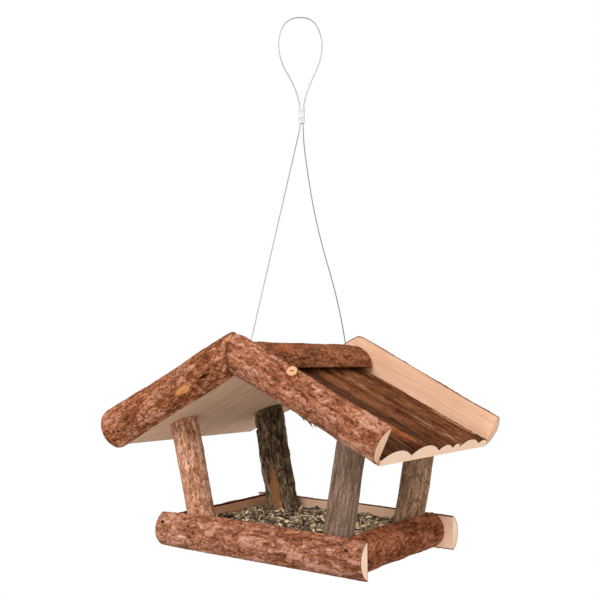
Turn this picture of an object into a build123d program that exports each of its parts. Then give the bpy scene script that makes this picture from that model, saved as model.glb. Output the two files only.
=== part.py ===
from build123d import *
import math
import os

# Hanging garden bird feeder: a seed tray under a gable roof, both of bark-covered half logs,
# on four splayed round posts, hung by a steel wire. X runs across the gables, Y along the
# ridge with the front gable at -Y, and Z up from the middle of the tray's underside.

# Roof slopes
roof_pitch = 25.5  # degrees
eave_half_width = 160.0  # level distance from the ridge line to the underside of the eave
eave_height = 105.6  # underside of the eave above the underside of the tray
roof_length = 214.0  # between the flat faces of the front and back bargeboards

# Roof slabs, front to back; widths are shares of the roof's length
slab_shares = {"right": (52, 53, 29, 16, 43, 21), "left": (38, 24, 47, 33, 18, 54)}
slab_eave_crowns = {"right": (13.5, 14.0, 11.0, 10.5, 12.5, 9.5),
                    "left": (12.5, 10.5, 13.5, 12.0, 10.0, 14.0)}
slab_ridge_crown = 9.5  # thickness at the ridge, in the middle of a slab's rounded back
slab_edge = 6.5  # thickness at a slab's sawn sides

# Bargeboards; each reach is the level distance from the ridge line to the outermost corner
board_height = 36.5
board_depth = 14.0
board_reaches = {("front", "left"): 184.6, ("front", "right"): 173.5,
                 ("back", "left"): 178.0, ("back", "right"): 175.0}
# Swelling of each log about its own axis, at even steps from the ridge to the eave
board_girth_shares = {("front", "left"): (0.99, 1.13, 1.16, 1.13, 1.15, 1.21, 1.25),
                      ("front", "right"): (1.12, 1.08, 1.0, 1.01, 0.975, 1.0, 0.98),
                      ("back", "left"): (1.05, 1.06, 1.05, 1.04, 1.02, 1.0, 0.98),
                      ("back", "right"): (1.28, 1.255, 1.19, 1.12, 1.035, 0.96, 0.93)}
board_lift_shares = {("front", "left"): 0.037, ("front", "right"): 0.0,
                     ("back", "left"): 0.0, ("back", "right"): 0.0}  # of the height, out of the slope
stub_run = 62.0  # sawn branch stub on the front right board, measured down the slope
stub_rise_share = 0.42  # its height on the log's face, of the flat, above the log's axis
stub_diameter = 11.0
stub_flare = 1.0  # how much wider it is at its root
stub_height = 1.2

# Ridge cap, a half log along the ridge
cap_width = 48.0
cap_height = 25.5
cap_seat_rise = 0.8  # cap's flat above the slabs' sawn edges; their crowns are planed level under it
cap_girth_shares = (0.97, 1.0, 1.03, 0.99, 1.02, 1.0, 0.96)  # of the width, front to back
cap_crown_shares = (0.97, 0.995, 0.98, 1.0, 0.975, 0.99, 0.95)  # of the height, front to back

# Seed tray
tray_half_width = 111.0  # inner faces of the side rails
tray_half_depth = 80.5  # inner faces of the front and back rails
rail_left_reaches = {"front": 124.0, "back": 124.5}  # long rails' ends from the middle
rail_right_reaches = {"front": 131.5, "back": 135.0}
rail_height = 37.0
long_rail_depth = 12.0
side_rail_depth = 14.0
# Swelling of each rail at even steps, from left to right or from front to back
rail_girth_shares = {"front": (0.95, 1.0, 1.025, 1.03, 1.01, 0.985, 0.965),
                     "back": (0.98, 1.0, 0.985, 1.0, 0.99, 0.965, 0.95),
                     "left": (0.905, 0.925, 0.935, 0.93, 0.94, 0.955, 0.97),
                     "right": (0.97, 1.0, 1.02, 1.015, 1.0, 0.985, 0.99)}
floor_thickness = 8.0

# Seeds: a mounded bed with a layer of whole seeds lying in its surface
seed_height = 25.0  # top of the bed in the middle of the tray
seed_mound = 4.0  # how far the bed falls away towards the corners
seed_length = 10.5
seed_width = 5.2
seed_thickness = 3.0
seed_sink_share = 0.45  # of the thickness, lying in the bed
seed_taper = 30.0  # degrees, of a seed's sides
seed_blunt_share = 0.45  # of half its length, where a seed is widest
seed_point_share = 0.4  # of half its length, where it starts to narrow to its point
seed_point_width_share = 0.9  # of its width, there
seed_columns = 15
seed_rows = 11
seed_scatter_share = 0.22  # of the spacing, how far a seed strays from its place
seed_scatter_turns = (7.3, 4.1)  # radians from one seed's straying to the next, across and along
seed_heading_turn = 137.5  # degrees from one seed's heading to the next

# Posts, in the tray's corners
post_side_gaps = {"front_left": 12.8, "front_right": 5.0,
                  "back_left": 19.7, "back_right": 1.2}  # to the side rail, at the rail's top
post_splays = {"front_left": 15.2, "front_right": 10.0,
               "back_left": 12.2, "back_right": 10.8}  # degrees outward
post_foot_diameters = {"front_left": 28.0, "front_right": 30.0, "back_left": 37.0, "back_right": 32.0}
post_head_diameters = {"front_left": 31.5, "front_right": 28.2, "back_left": 34.0, "back_right": 31.0}
post_bows = {"front_left": 1.0, "front_right": -0.8, "back_left": -1.5, "back_right": 1.2}
post_rail_gap = 1.0  # post's side to the inner face of the front or back rail

# Hanging wire
wire_diameter = 1.2
eye_half_spacing = 84.4  # wire holes in the ridge, front and back of the middle
eye_clearance = 0.6  # drilled hole round the wire
loop_top = 573.0
loop_radius = 23.0
loop_turn = 36.5  # degrees from X to the plane that the loop lies in
loop_corners = 4
loop_bend_share = 0.9  # of the loop's radius, the bend at its corners
wire_bend = 6.0  # bend where the strands spread above and below the sleeve
sleeve_middle = 462.0
sleeve_length = 17.0
sleeve_width = 6.4
sleeve_thickness = 3.8
sleeve_dent = 0.35  # depth of the two crimped bands
sleeve_band = 4.0  # length of a crimped band
strand_offset = 1.4  # wire's centre from the sleeve's axis
sleeve_clearance = 0.1
wire_fold = 1.4  # bend where the wire turns under the ridge

# Fasteners: shank and head diameters, head thickness and taper, length, tip length
nail = (1.8, 4.2, 0.9, 0.0, 27.0, 2.0)
brad = (1.3, 2.3, 0.8, 0.0, 20.0, 1.5)
cap_brad = (1.3, 2.3, 0.8, 0.0, 28.0, 1.5)
roof_brad = (1.3, 2.3, 0.8, 0.0, 33.0, 1.5)
screw = (3.5, 7.0, 2.6, 2.0, 30.0, 4.0)
rail_nail_shares = (0.39, 0.71)  # of the rail's height
rail_nail_inset = 4.0  # from the inner face of a side rail
long_rail_brad_shares = (-0.62, 0.0, 0.62)  # of the tray's half width
side_rail_brad_shares = (-0.5, 0.5)  # of the tray's half depth
board_brad_shares = (0.2, 0.52, 0.84)  # of the slope's length
cap_brad_share = 0.58  # of the cap's half width
head_sink = 0.6  # how far a head lies below the bark

# Clearances
joint_gap = 0.2  # between wooden faces that seat on each other
seam_gap = 0.3  # between neighbouring roof slabs
nail_fit = 0.12  # round shanks and heads
seed_gap = 0.5  # seed bed to the posts
swing_gap = 0.3  # between the swinging wire and the fixed one

# Worked-out places
pitch = math.radians(roof_pitch)
apex_height = eave_height + eave_half_width * math.tan(pitch)
slope_length = eave_half_width / math.cos(pitch)
gable = roof_length / 2
cap_base = apex_height + slab_edge * math.cos(pitch) + cap_seat_rise
cap_top = cap_base + cap_height
wire_radius = wire_diameter / 2
pivot_height = cap_top + wire_radius + swing_gap
overcut = 30.0  # length beyond a cut, sawn off again
up = Vector(0, 0, 1)


def on_slope(run, rise, y=0.0):
    """A point of the right slope: down the slope, square out of it, along the ridge."""
    return Vector(run * math.cos(pitch) + rise * math.sin(pitch), y,
                  apex_height - run * math.sin(pitch) + rise * math.cos(pitch))


def slope_plane(run, outward):
    """A plane square to the slope, its x along Y times outward and its y out of the roof."""
    down = Vector(math.cos(pitch), 0, -math.sin(pitch))
    return Plane(on_slope(run, 0), x_dir=(0, outward, 0), z_dir=down * outward)


def half_round(low, high, depth):
    """A half log's section: flat side on y from low to high, bark bulging along x."""
    flat = Line((0, low), (0, high))
    bark = ThreePointArc((0, high), (depth, (low + high) / 2), (0, low))
    return make_face(flat + bark)


def even_steps(start, end, count):
    """Evenly spaced places from start to end."""
    return [start + (end - start) * step / (count - 1) for step in range(count)]


def share_at(shares, start, end, place):
    """A share between its even steps."""
    step = (place - start) / (end - start) * (len(shares) - 1)
    before = min(int(step), len(shares) - 2)
    return shares[before] + (shares[before + 1] - shares[before]) * (step - before)


def bark_depth(height, depth, level):
    """Thickness of a half log at a level of its flat side."""
    radius = (height ** 2 / 4 + depth ** 2) / (2 * depth)
    return depth - radius + math.sqrt(radius ** 2 - (level - height / 2) ** 2)


def turned(size, extra=0.0, reach=0.0):
    """A fastener turned about Z, its head's seat at zero; extra widens it, reach lengthens its head."""
    shank, head, thick, taper, length, tip = size
    shank_radius = shank / 2 + extra
    head_radius = head / 2 + extra
    outline = Polyline((0, -thick - reach), (head_radius, -thick - reach), (head_radius, extra - taper),
                       (shank_radius, extra), (shank_radius, length - tip + extra), (0, length + 2 * extra),
                       close=True)
    return revolve(Plane.XZ * make_face(outline), Axis.Z)


def fastener(size, point, direction):
    """A nail, brad or screw with its head's seat at the point, driven along direction."""
    return Plane(point, z_dir=direction) * turned(size)


def drilling(size, point, direction):
    """The hole for a fastener, open from its head's seat outwards."""
    return Plane(point, z_dir=direction) * turned(size, nail_fit, overcut)


def group(solids):
    """Separate solids of one kind as one node."""
    return Compound(children=[shape.solid() for shape in solids])


# Roof slabs: flat below, sawn sides, rounded back, thinner at the ridge than at the eave
def slab_spans(side):
    """Front and back edge of each slab of a slope."""
    total = sum(slab_shares[side])
    edges = [-gable]
    for share in slab_shares[side]:
        edges.append(edges[-1] + roof_length * share / total)
    return [(start + seam_gap / 2, end - seam_gap / 2) for start, end in zip(edges, edges[1:])]


def slab_section(run, start, end, crown):
    sides = Polyline((start, slab_edge), (start, 0), (end, 0), (end, slab_edge))
    back = ThreePointArc((end, slab_edge), ((start + end) / 2, crown), (start, slab_edge))
    return slope_plane(run, 1) * make_face(sides + back)


def slab_thickness(start, end, crown, y):
    """Thickness of a slab's section at a place along the ridge."""
    return slab_edge + bark_depth(end - start, crown - slab_edge, y - start)


def roof_slab(span, eave_crown):
    ridge_run = seam_gap / 2 / math.cos(pitch)
    ridge_end = slab_section(ridge_run, *span, slab_ridge_crown)
    eave_end = slab_section(slope_length, *span, eave_crown)
    planed = Plane((0, 0, cap_base - joint_gap), z_dir=(0, 0, 1))
    return split(loft([ridge_end, eave_end]), bisect_by=planed, keep=Keep.BOTTOM)


# Bargeboards: half logs on the gables, mitred at the ridge and sawn square at the eave
def board_sizes(end, side, girth):
    """Lower and upper edge and depth of a bargeboard where it has a girth."""
    axis = board_height * (0.5 + board_lift_shares[(end, side)])
    half = board_height * girth / 2
    return axis - half, axis + half, board_depth * (1 + girth) / 2


def board_eave_run(end, side):
    """Where a bargeboard is sawn off, measured down the slope."""
    low, high, depth = board_sizes(end, side, board_girth_shares[(end, side)][-1])
    return (board_reaches[(end, side)] - high * math.sin(pitch)) / math.cos(pitch)


def bargeboard(end, side):
    outward = -1 if end == "front" else 1
    girths = board_girth_shares[(end, side)]
    runs = even_steps(-overcut, board_eave_run(end, side), len(girths))
    sections = []
    for run, girth in zip(runs, girths):
        section = half_round(*board_sizes(end, side, girth))
        sections.append(slope_plane(run, outward) * Pos(gable + joint_gap, 0) * section)
    board = loft(sections)
    if (end, side) == ("front", "right"):
        board += branch_stub()
    mitre = Plane((seam_gap / 2, 0, 0), z_dir=(1, 0, 0))
    return split(board, bisect_by=mitre, keep=Keep.TOP)


def branch_stub():
    """A sawn-off branch that stands out of the front right board's bark."""
    radius = (board_height ** 2 / 4 + board_depth ** 2) / (2 * board_depth)
    level = board_height * (0.5 + stub_rise_share)
    lift = (level - board_height / 2) / radius
    centre = on_slope(stub_run, board_height / 2, -(gable + joint_gap + board_depth - radius))
    normal = on_slope(stub_run, board_height / 2 + lift, 0) - on_slope(stub_run, board_height / 2, 0)
    normal += Vector(0, -math.sqrt(1 - lift ** 2), 0)
    wood = Cone(stub_diameter / 2 + stub_flare, stub_diameter / 2, radius / 2 + stub_height,
                align=(Align.CENTER, Align.CENTER, Align.MIN))
    stub = Plane(centre + normal * (radius / 2), z_dir=normal) * wood
    flat = Plane((0, -(gable + joint_gap), 0), z_dir=(0, -1, 0))
    return split(stub, bisect_by=flat, keep=Keep.TOP)


# Ridge cap: a half log between the bargeboards, seated on the slabs' upper ends
def ridge_cap():
    reach = gable - joint_gap
    places = even_steps(-reach, reach, len(cap_girth_shares))
    sections = []
    for y, girth, crown in zip(places, cap_girth_shares, cap_crown_shares):
        half = cap_width / 2 * girth
        section = half_round(-half, half, cap_height * crown)
        sections.append(Plane((0, y, cap_base), x_dir=(0, 0, 1), z_dir=(0, 1, 0)) * section)
    return loft(sections)


# Tray rails: half logs with their flat sides inwards; the side rails butt between the others
def tray_rail(name):
    outward = {"front": Vector(0, -1, 0), "back": Vector(0, 1, 0),
               "left": Vector(-1, 0, 0), "right": Vector(1, 0, 0)}[name]
    along = outward.cross(up)
    forward = along.X + along.Y
    if name in ("front", "back"):
        flat, depth = tray_half_depth, long_rail_depth
        start, end = -rail_left_reaches[name], rail_right_reaches[name]
    else:
        flat, depth = tray_half_width, side_rail_depth
        start, end = joint_gap - tray_half_depth, tray_half_depth - joint_gap
    girths = rail_girth_shares[name]
    sections = []
    for place, girth in zip(even_steps(start, end, len(girths)), girths):
        foot = outward * flat + along * (place * forward)
        section = half_round(0, rail_height * girth, depth * girth)
        sections.append(Plane(foot, x_dir=outward, z_dir=along) * section)
    return loft(sections)


# Posts: round stems in the tray's corners, sawn level at the foot and to the slope at the head
def post_axis(name):
    """Foot and head of a post's axis, and the direction between them."""
    front = -1 if name.startswith("front") else 1
    right = 1 if name.endswith("right") else -1
    lean = math.tan(math.radians(post_splays[name]))
    foot_radius = post_foot_diameters[name] / 2
    foot_x = (tray_half_width - post_side_gaps[name] - foot_radius
              - lean * (rail_height - floor_thickness))
    foot_y = tray_half_depth - post_rail_gap - foot_radius
    rise = (apex_height - floor_thickness - foot_x * math.tan(pitch)) / (1 + lean * math.tan(pitch))
    foot_point = Vector(right * foot_x, front * foot_y, floor_thickness)
    head_point = foot_point + Vector(right * lean * rise, 0, rise)
    return foot_point, head_point, (head_point - foot_point).normalized()


def post(name, extra=0.0):
    foot, head = post_foot_diameters[name], post_head_diameters[name]
    foot_point, head_point, axis = post_axis(name)
    middle = (foot_point + head_point) / 2 + Vector(0, post_bows[name], 0)
    places = (foot_point - axis * overcut, middle, head_point + axis * overcut)
    sections = []
    for point, diameter in zip(places, (foot, (foot + head) / 2, head)):
        sections.append(Plane(point, z_dir=axis) * Circle(diameter / 2 + extra))
    stem = loft(sections)
    floor_cut = Plane((0, 0, floor_thickness + joint_gap), z_dir=(0, 0, 1))
    stem = split(stem, bisect_by=floor_cut, keep=Keep.TOP)
    right = 1 if name.endswith("right") else -1
    roof_normal = (right * math.sin(pitch), 0, math.cos(pitch))
    roof_cut = Plane((0, 0, apex_height - joint_gap / math.cos(pitch)), z_dir=roof_normal)
    return split(stem, bisect_by=roof_cut, keep=Keep.BOTTOM)


# Seeds: a bed on the tray's floor, mounded in the middle, with seeds lying in its surface
def seed_shape():
    """The upper side of one seed, pointed at one end, its outline lying in the bed."""
    long, wide = seed_length / 2, seed_width / 2
    blunt, point, narrow = seed_blunt_share * long, seed_point_share * long, seed_point_width_share * wide
    outline = Polyline((-long, 0), (-blunt, -wide), (point, -narrow), (long, 0),
                       (point, narrow), (-blunt, wide), close=True)
    return extrude(make_face(outline), seed_thickness / 2, taper=seed_taper)


def seed_places(half_x, half_y):
    """Where the whole seeds lie and which way they point, scattered about a grid."""
    places = []
    step_x, step_y = 2 * half_x / seed_columns, 2 * half_y / seed_rows
    across, along = seed_scatter_turns
    for column in range(seed_columns):
        for row in range(seed_rows):
            number = column * seed_rows + row
            x = -half_x + step_x * (column + 0.5 + seed_scatter_share * math.sin(across * number))
            y = -half_y + step_y * (row + 0.5 + seed_scatter_share * math.cos(along * number))
            places.append((x, y, seed_heading_turn * number))
    return places


def clear_of_posts(x, y):
    """Whether a seed's place leaves room for the posts."""
    for name in post_splays:
        foot_point, head_point, axis = post_axis(name)
        lean = axis.X / axis.Z * (seed_height - floor_thickness)
        reach = post_foot_diameters[name] / 2 + seed_length
        if math.hypot(x - foot_point.X - lean, y - foot_point.Y) < reach:
            return False
    return True


def seed_bed():
    half_x = tray_half_width - joint_gap
    half_y = tray_half_depth - joint_gap
    base = floor_thickness + joint_gap
    corner = math.hypot(half_x, half_y)
    radius = (corner ** 2 + seed_mound ** 2) / (2 * seed_mound)
    bed = Pos(0, 0, base) * Box(2 * half_x, 2 * half_y, seed_height,
                                align=(Align.CENTER, Align.CENTER, Align.MIN))
    bed &= Pos(0, 0, seed_height - radius) * Sphere(radius)
    bed -= [post(name, seed_gap) for name in post_splays]
    margin = seed_length / 2
    seed = seed_shape()
    seeds = []
    for x, y, heading in seed_places(half_x, half_y):
        inside = abs(x) < half_x - margin and abs(y) < half_y - margin
        if inside and clear_of_posts(x, y):
            level = seed_height - radius + math.sqrt(radius ** 2 - x ** 2 - y ** 2)
            sunk = level - seed_sink_share * seed_thickness / 2
            seeds.append(Pos(x, y, sunk) * Rot(0, 0, heading) * seed)
    print("seeds in the bed's surface", len(seeds))
    return bed + seeds


# Wire: one strand from the front eye up through the sleeve, round the loop and back down
def hanging_route():
    """Corners of the wire's path and the bend at each of them."""
    across = Vector(math.cos(math.radians(loop_turn)), math.sin(math.radians(loop_turn)), 0)
    lead = wire_bend / 2
    sleeve_low = sleeve_middle - sleeve_length / 2 - lead
    sleeve_high = sleeve_middle + sleeve_length / 2 + lead
    loop_middle = loop_top - loop_radius - wire_radius
    reach = math.hypot(strand_offset, loop_middle - sleeve_high)
    flare = math.asin(loop_radius / reach) - math.atan2(strand_offset, loop_middle - sleeve_high)
    turn = (math.pi + 2 * flare) / loop_corners
    loop_bend = loop_bend_share * loop_radius
    route = [Vector(0, -eye_half_spacing, pivot_height),
             across * -strand_offset + up * sleeve_low, across * -strand_offset + up * sleeve_high]
    for corner in range(loop_corners):
        angle = math.pi + flare - turn * (corner + 0.5)
        spread = loop_radius / math.cos(turn / 2)
        route.append(across * (spread * math.cos(angle))
                     + up * (loop_middle + spread * math.sin(angle)))
    route += [across * strand_offset + up * sleeve_high, across * strand_offset + up * sleeve_low,
              Vector(0, eye_half_spacing, pivot_height)]
    return route, [wire_bend] * 2 + [loop_bend] * loop_corners + [wire_bend] * 2


def wire_tube(route, bends):
    path = FilletPolyline(*route, radius=bends)
    tube = sweep(Plane(path @ 0, z_dir=path % 0) * Circle(wire_radius), path=path)
    print("wire length", round(path.length, 2), "bends", [round(bend, 2) for bend in bends],
          "volume", round(tube.volume, 2), "section x length",
          round(math.pi * wire_radius ** 2 * path.length, 2))
    return tube


def wire_under_ridge():
    """The fixed stretch: down the front eye, along under the ridge and up the back eye."""
    low = apex_height - wire_radius - joint_gap
    route = [Vector(0, -eye_half_spacing, cap_top), Vector(0, -eye_half_spacing, low),
             Vector(0, eye_half_spacing, low), Vector(0, eye_half_spacing, cap_top)]
    return wire_tube(route, [wire_fold, wire_fold])


def crimp_sleeve():
    """An oval ferrule with one bore for each strand and two crimped bands."""
    centred = (Align.CENTER, Align.CENTER, Align.CENTER)
    body = extrude(SlotOverall(sleeve_width, sleeve_thickness), sleeve_length / 2, both=True)
    for side in (-1, 1):
        body -= Pos(side * strand_offset, 0, 0) * Cylinder(wire_radius + sleeve_clearance,
                                                           2 * sleeve_length)
        for band in (-1, 1):
            dent = Box(2 * sleeve_width, sleeve_thickness, sleeve_band, align=centred)
            body -= Pos(0, side * (sleeve_thickness - sleeve_dent),
                        band * sleeve_length / 4) * dent
    return Pos(0, 0, sleeve_middle) * Rot(0, 0, loop_turn) * body


def eye_drillings():
    """Vertical holes for the wire through the cap and between the slabs' upper ends."""
    hole = Cylinder(wire_radius + eye_clearance, 2 * (cap_top - eave_height))
    return [Pos(0, place * eye_half_spacing, cap_top) * hole for place in (-1, 1)]


# Fastener places: size, point under the head, driving direction
def rail_nail_places():
    places = []
    for front in (-1, 1):
        for right in (-1, 1):
            for share in rail_nail_shares:
                level = share * rail_height
                depth = bark_depth(rail_height, long_rail_depth, level) - head_sink - nail[2]
                point = Vector(right * (tray_half_width + rail_nail_inset),
                               front * (tray_half_depth + depth), level)
                places.append((nail, point, Vector(0, -front, 0)))
    return places


def floor_brad_places():
    level = floor_thickness / 2
    places = []
    for way in (-1, 1):
        long_depth = bark_depth(rail_height, long_rail_depth, level) - head_sink - brad[2]
        for share in long_rail_brad_shares:
            point = Vector(share * tray_half_width, way * (tray_half_depth + long_depth), level)
            places.append((brad, point, Vector(0, -way, 0)))
        side_depth = bark_depth(rail_height, side_rail_depth, level) - head_sink - brad[2]
        for share in side_rail_brad_shares:
            point = Vector(way * (tray_half_width + side_depth), share * tray_half_depth, level)
            places.append((brad, point, Vector(-way, 0, 0)))
    return places


def post_screw_places():
    places = []
    for name in post_splays:
        foot_point, head_point, axis = post_axis(name)
        places.append((screw, Vector(foot_point.X, foot_point.Y, screw[2]), up))
    return places


def board_brad_places():
    level = slab_edge / 2
    places = []
    for (end, side), girths in board_girth_shares.items():
        outward = -1 if end == "front" else 1
        right = -1 if side == "left" else 1
        for share in board_brad_shares:
            run = share * slope_length
            girth = share_at(girths, -overcut, board_eave_run(end, side), run)
            low, high, log_depth = board_sizes(end, side, girth)
            depth = bark_depth(high - low, log_depth, level - low) - head_sink - brad[2]
            point = on_slope(run, level, outward * (gable + joint_gap + depth))
            point = Vector(right * point.X, point.Y, point.Z)
            places.append((brad, point, Vector(0, -outward, 0)))
    return places


def roof_brad_places():
    places = []
    for name in post_splays:
        foot_point, head_point, axis = post_axis(name)
        side, right = ("right", 1) if head_point.X > 0 else ("left", -1)
        y = head_point.Y
        slabs = zip(slab_spans(side), slab_eave_crowns[side])
        (start, end), eave_crown = min(slabs, key=lambda slab: max(slab[0][0] - y, y - slab[0][1]))
        down = abs(head_point.X) / eave_half_width
        crown = slab_ridge_crown + (eave_crown - slab_ridge_crown) * down
        normal = Vector(right * math.sin(pitch), 0, math.cos(pitch))
        lift = slab_thickness(start, end, crown, y) - head_sink - roof_brad[2]
        places.append((roof_brad, head_point + normal * lift, normal * -1))
    return places


def cap_brad_places():
    offset = cap_brad_share * cap_width / 2
    depth = bark_depth(cap_width, cap_height, cap_width / 2 + offset)
    level = cap_base + depth - head_sink - cap_brad[2]
    places = []
    for side, right in (("left", -1), ("right", 1)):
        for start, end in slab_spans(side):
            point = Vector(right * offset, (start + end) / 2, level)
            places.append((cap_brad, point, up * -1))
    return places


fastener_places = {"rail_nails": rail_nail_places(), "floor_brads": floor_brad_places(),
                   "post_screws": post_screw_places(), "bargeboard_brads": board_brad_places(),
                   "roof_brads": roof_brad_places(), "cap_brads": cap_brad_places()}


def drilled(shape, *kinds):
    """A wooden piece with the holes for the named fasteners."""
    holes = [drilling(*place) for kind in kinds for place in fastener_places[kind]]
    return shape - holes


def mirrored(shape, side):
    """A piece of the right slope, turned over to the left slope where asked."""
    return mirror(shape, about=Plane.YZ) if side == "left" else shape


# Assembly
nodes = {}
floor_board = Box(2 * (tray_half_width - joint_gap), 2 * (tray_half_depth - joint_gap),
                  floor_thickness, align=(Align.CENTER, Align.CENTER, Align.MIN))
nodes["tray_floor"] = drilled(floor_board, "floor_brads", "post_screws")
for name in ("front", "back", "left", "right"):
    nodes[f"tray_{name}_rail"] = drilled(tray_rail(name), "rail_nails", "floor_brads")
nodes["seed_fill"] = seed_bed()
for name in post_splays:
    nodes[f"post_{name}"] = drilled(post(name), "post_screws", "roof_brads")
for side in ("left", "right"):
    spans = zip(slab_spans(side), slab_eave_crowns[side])
    for number, (span, crown) in enumerate(spans, start=1):
        slab = mirrored(roof_slab(span, crown), side) - eye_drillings()
        slab = drilled(slab, "bargeboard_brads", "roof_brads", "cap_brads")
        nodes[f"roof_slab_{side}_{number}"] = slab
    for end in ("front", "back"):
        board = mirrored(bargeboard(end, side), side)
        nodes[f"bargeboard_{end}_{side}"] = drilled(board, "bargeboard_brads")
nodes["ridge_cap"] = drilled(ridge_cap(), "cap_brads") - eye_drillings()
nodes["wire_under_ridge"] = wire_under_ridge()
nodes["hanging_wire"] = wire_tube(*hanging_route())
nodes["crimp_sleeve"] = crimp_sleeve()

os.makedirs("parts", exist_ok=True)
for name, shape in nodes.items():
    export_step(shape.solid(), f"parts/{name}.step")
for kind, places in fastener_places.items():
    export_step(group([fastener(*place) for place in places]), f"parts/{kind}.step")
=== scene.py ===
# %% [markdown]
# # A hanging bird feeder of bark-covered half logs
# The feeder is a small open house: a tray of half logs, four branch posts and a gable roof of bark slabs,
# hung on one thin wire. The CAD model gives every piece its size and place, so it is loaded first and never
# moved. Everything after that dresses it: bark with real relief, sawn wood, sunflower seeds and steel.

# %% Load the frame
import math
import random

import bmesh
import bpy
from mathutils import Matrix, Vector, noise


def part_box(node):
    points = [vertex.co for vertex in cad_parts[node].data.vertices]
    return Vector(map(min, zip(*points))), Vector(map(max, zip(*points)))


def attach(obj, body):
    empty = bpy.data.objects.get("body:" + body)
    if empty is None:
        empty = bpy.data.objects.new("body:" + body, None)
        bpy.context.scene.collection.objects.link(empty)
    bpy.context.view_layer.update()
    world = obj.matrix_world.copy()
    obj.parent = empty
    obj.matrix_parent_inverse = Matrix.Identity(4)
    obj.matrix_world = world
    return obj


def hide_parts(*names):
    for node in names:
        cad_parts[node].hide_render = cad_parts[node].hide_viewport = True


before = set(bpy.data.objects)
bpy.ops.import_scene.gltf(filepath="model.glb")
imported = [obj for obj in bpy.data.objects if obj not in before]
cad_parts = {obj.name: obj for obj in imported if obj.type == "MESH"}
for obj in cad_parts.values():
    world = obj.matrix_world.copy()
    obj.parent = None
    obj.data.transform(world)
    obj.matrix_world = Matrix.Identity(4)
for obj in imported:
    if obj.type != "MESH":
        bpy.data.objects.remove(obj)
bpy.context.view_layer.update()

MM = 0.001
bark_seed = 5
scene = bpy.context.scene
noise.seed_set(bark_seed)  # the same bark in every run
print("nodes in the frame:", len(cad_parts))

# %% [markdown]
# ## Camera
# The photograph looks at the front right corner from a little under the eaves, so the roof's underside
# shows. A camera could be moved by hand until the picture fits. Here its place, its heading and its lens
# were worked out from corners of the house whose sizes are known, so that render and photograph can be
# laid over each other.

# %% Camera
camera_place = (0.5332, -0.7219, 0.1930)
camera_heading = math.radians(36.57)
camera_lift = math.radians(4.28)
camera_data = bpy.data.cameras.new("photo_camera")
camera_data.sensor_width = 36.0
camera_data.lens = 50.27
camera = bpy.data.objects.new("photo_camera", camera_data)
camera.location = camera_place
camera.rotation_euler = (math.pi / 2 + camera_lift, 0, camera_heading)
scene.collection.objects.link(camera)
scene.camera = camera
print("camera lens:", camera_data.lens)

# %% [markdown]
# ## Node trees
# Each finish is a small graph of shader nodes. It could be wired by hand in the shader editor, but a
# script gives the same finish in every run. One helper makes a node, sets its inputs and links whatever
# is handed to it, so a finish reads from top to bottom like a recipe.

# %% Helpers for nodes
def new_finish(name):
    """An empty material, its node tree and its surface shader"""
    material = bpy.data.materials.new(name)
    material.use_nodes = True
    surface = material.node_tree.nodes["Principled BSDF"]
    return material, material.node_tree, surface


def add(tree, kind, inputs=None, **settings):
    """A node with its settings; an input is a number, a colour or another node's output"""
    made = tree.nodes.new(kind)
    for name, value in settings.items():
        setattr(made, name, value)
    for name, value in (inputs or {}).items():
        socket = made.inputs[name]
        if isinstance(value, bpy.types.NodeSocket):
            tree.links.new(value, socket)
        else:
            socket.default_value = value
    return made


def colour(red, green, blue):
    """An opaque colour"""
    return (red, green, blue, 1.0)


def ramp(tree, factor, stops):
    """A colour ramp with (place, colour) stops"""
    made = add(tree, "ShaderNodeValToRGB", {"Fac": factor})
    elements = made.color_ramp.elements
    while len(elements) < len(stops):
        elements.new(0.5)
    for element, (place, shade) in zip(elements, stops):
        element.position = place
        element.color = shade
    return made.outputs["Color"]


def mix(tree, factor, first, second, blend="MIX"):
    """Two colours mixed by a factor"""
    inputs = {0: factor, 6: first, 7: second}
    return add(tree, "ShaderNodeMix", inputs, data_type="RGBA", blend_type=blend).outputs[2]


def sums(tree, operation, first, second):
    """One sum on two numbers"""
    return add(tree, "ShaderNodeMath", {0: first, 1: second}, operation=operation).outputs[0]


def times(tree, first, second):
    """Two numbers multiplied"""
    return sums(tree, "MULTIPLY", first, second)


def number_range(tree, value, low, high):
    """A noise value laid over a range"""
    inputs = {"Value": value, "To Min": low, "To Max": high}
    return add(tree, "ShaderNodeMapRange", inputs).outputs["Result"]


def sharpened(tree, value, low, high):
    """A value drawn out, so that low becomes 0 and high becomes 1"""
    inputs = {"Value": value, "From Min": low, "From Max": high}
    return add(tree, "ShaderNodeMapRange", inputs).outputs["Result"]


print("helpers for nodes, colours and numbers made")

# %% Helpers for coordinates and noise
def object_place(tree):
    """Coordinates in the piece's own frame, in metres"""
    return add(tree, "ShaderNodeTexCoord").outputs["Object"]


def grain_place(tree):
    """Coordinates on the UV map that lies along the grain"""
    return add(tree, "ShaderNodeUVMap", uv_map="grain").outputs["UV"]


def mesh_value(tree, name):
    """A number that is stored on the mesh"""
    return add(tree, "ShaderNodeAttribute", attribute_name=name).outputs["Fac"]


def stretched(tree, vector, scales):
    """Coordinates pressed by a scale on each axis"""
    return add(tree, "ShaderNodeMapping", {"Vector": vector, "Scale": scales}).outputs["Vector"]


def speckle(tree, vector, scale, detail=3.0, rough=0.6):
    """Cloudy noise of a scale per metre"""
    inputs = {"Vector": vector, "Scale": scale, "Detail": detail, "Roughness": rough}
    return add(tree, "ShaderNodeTexNoise", inputs).outputs["Fac"]


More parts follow.
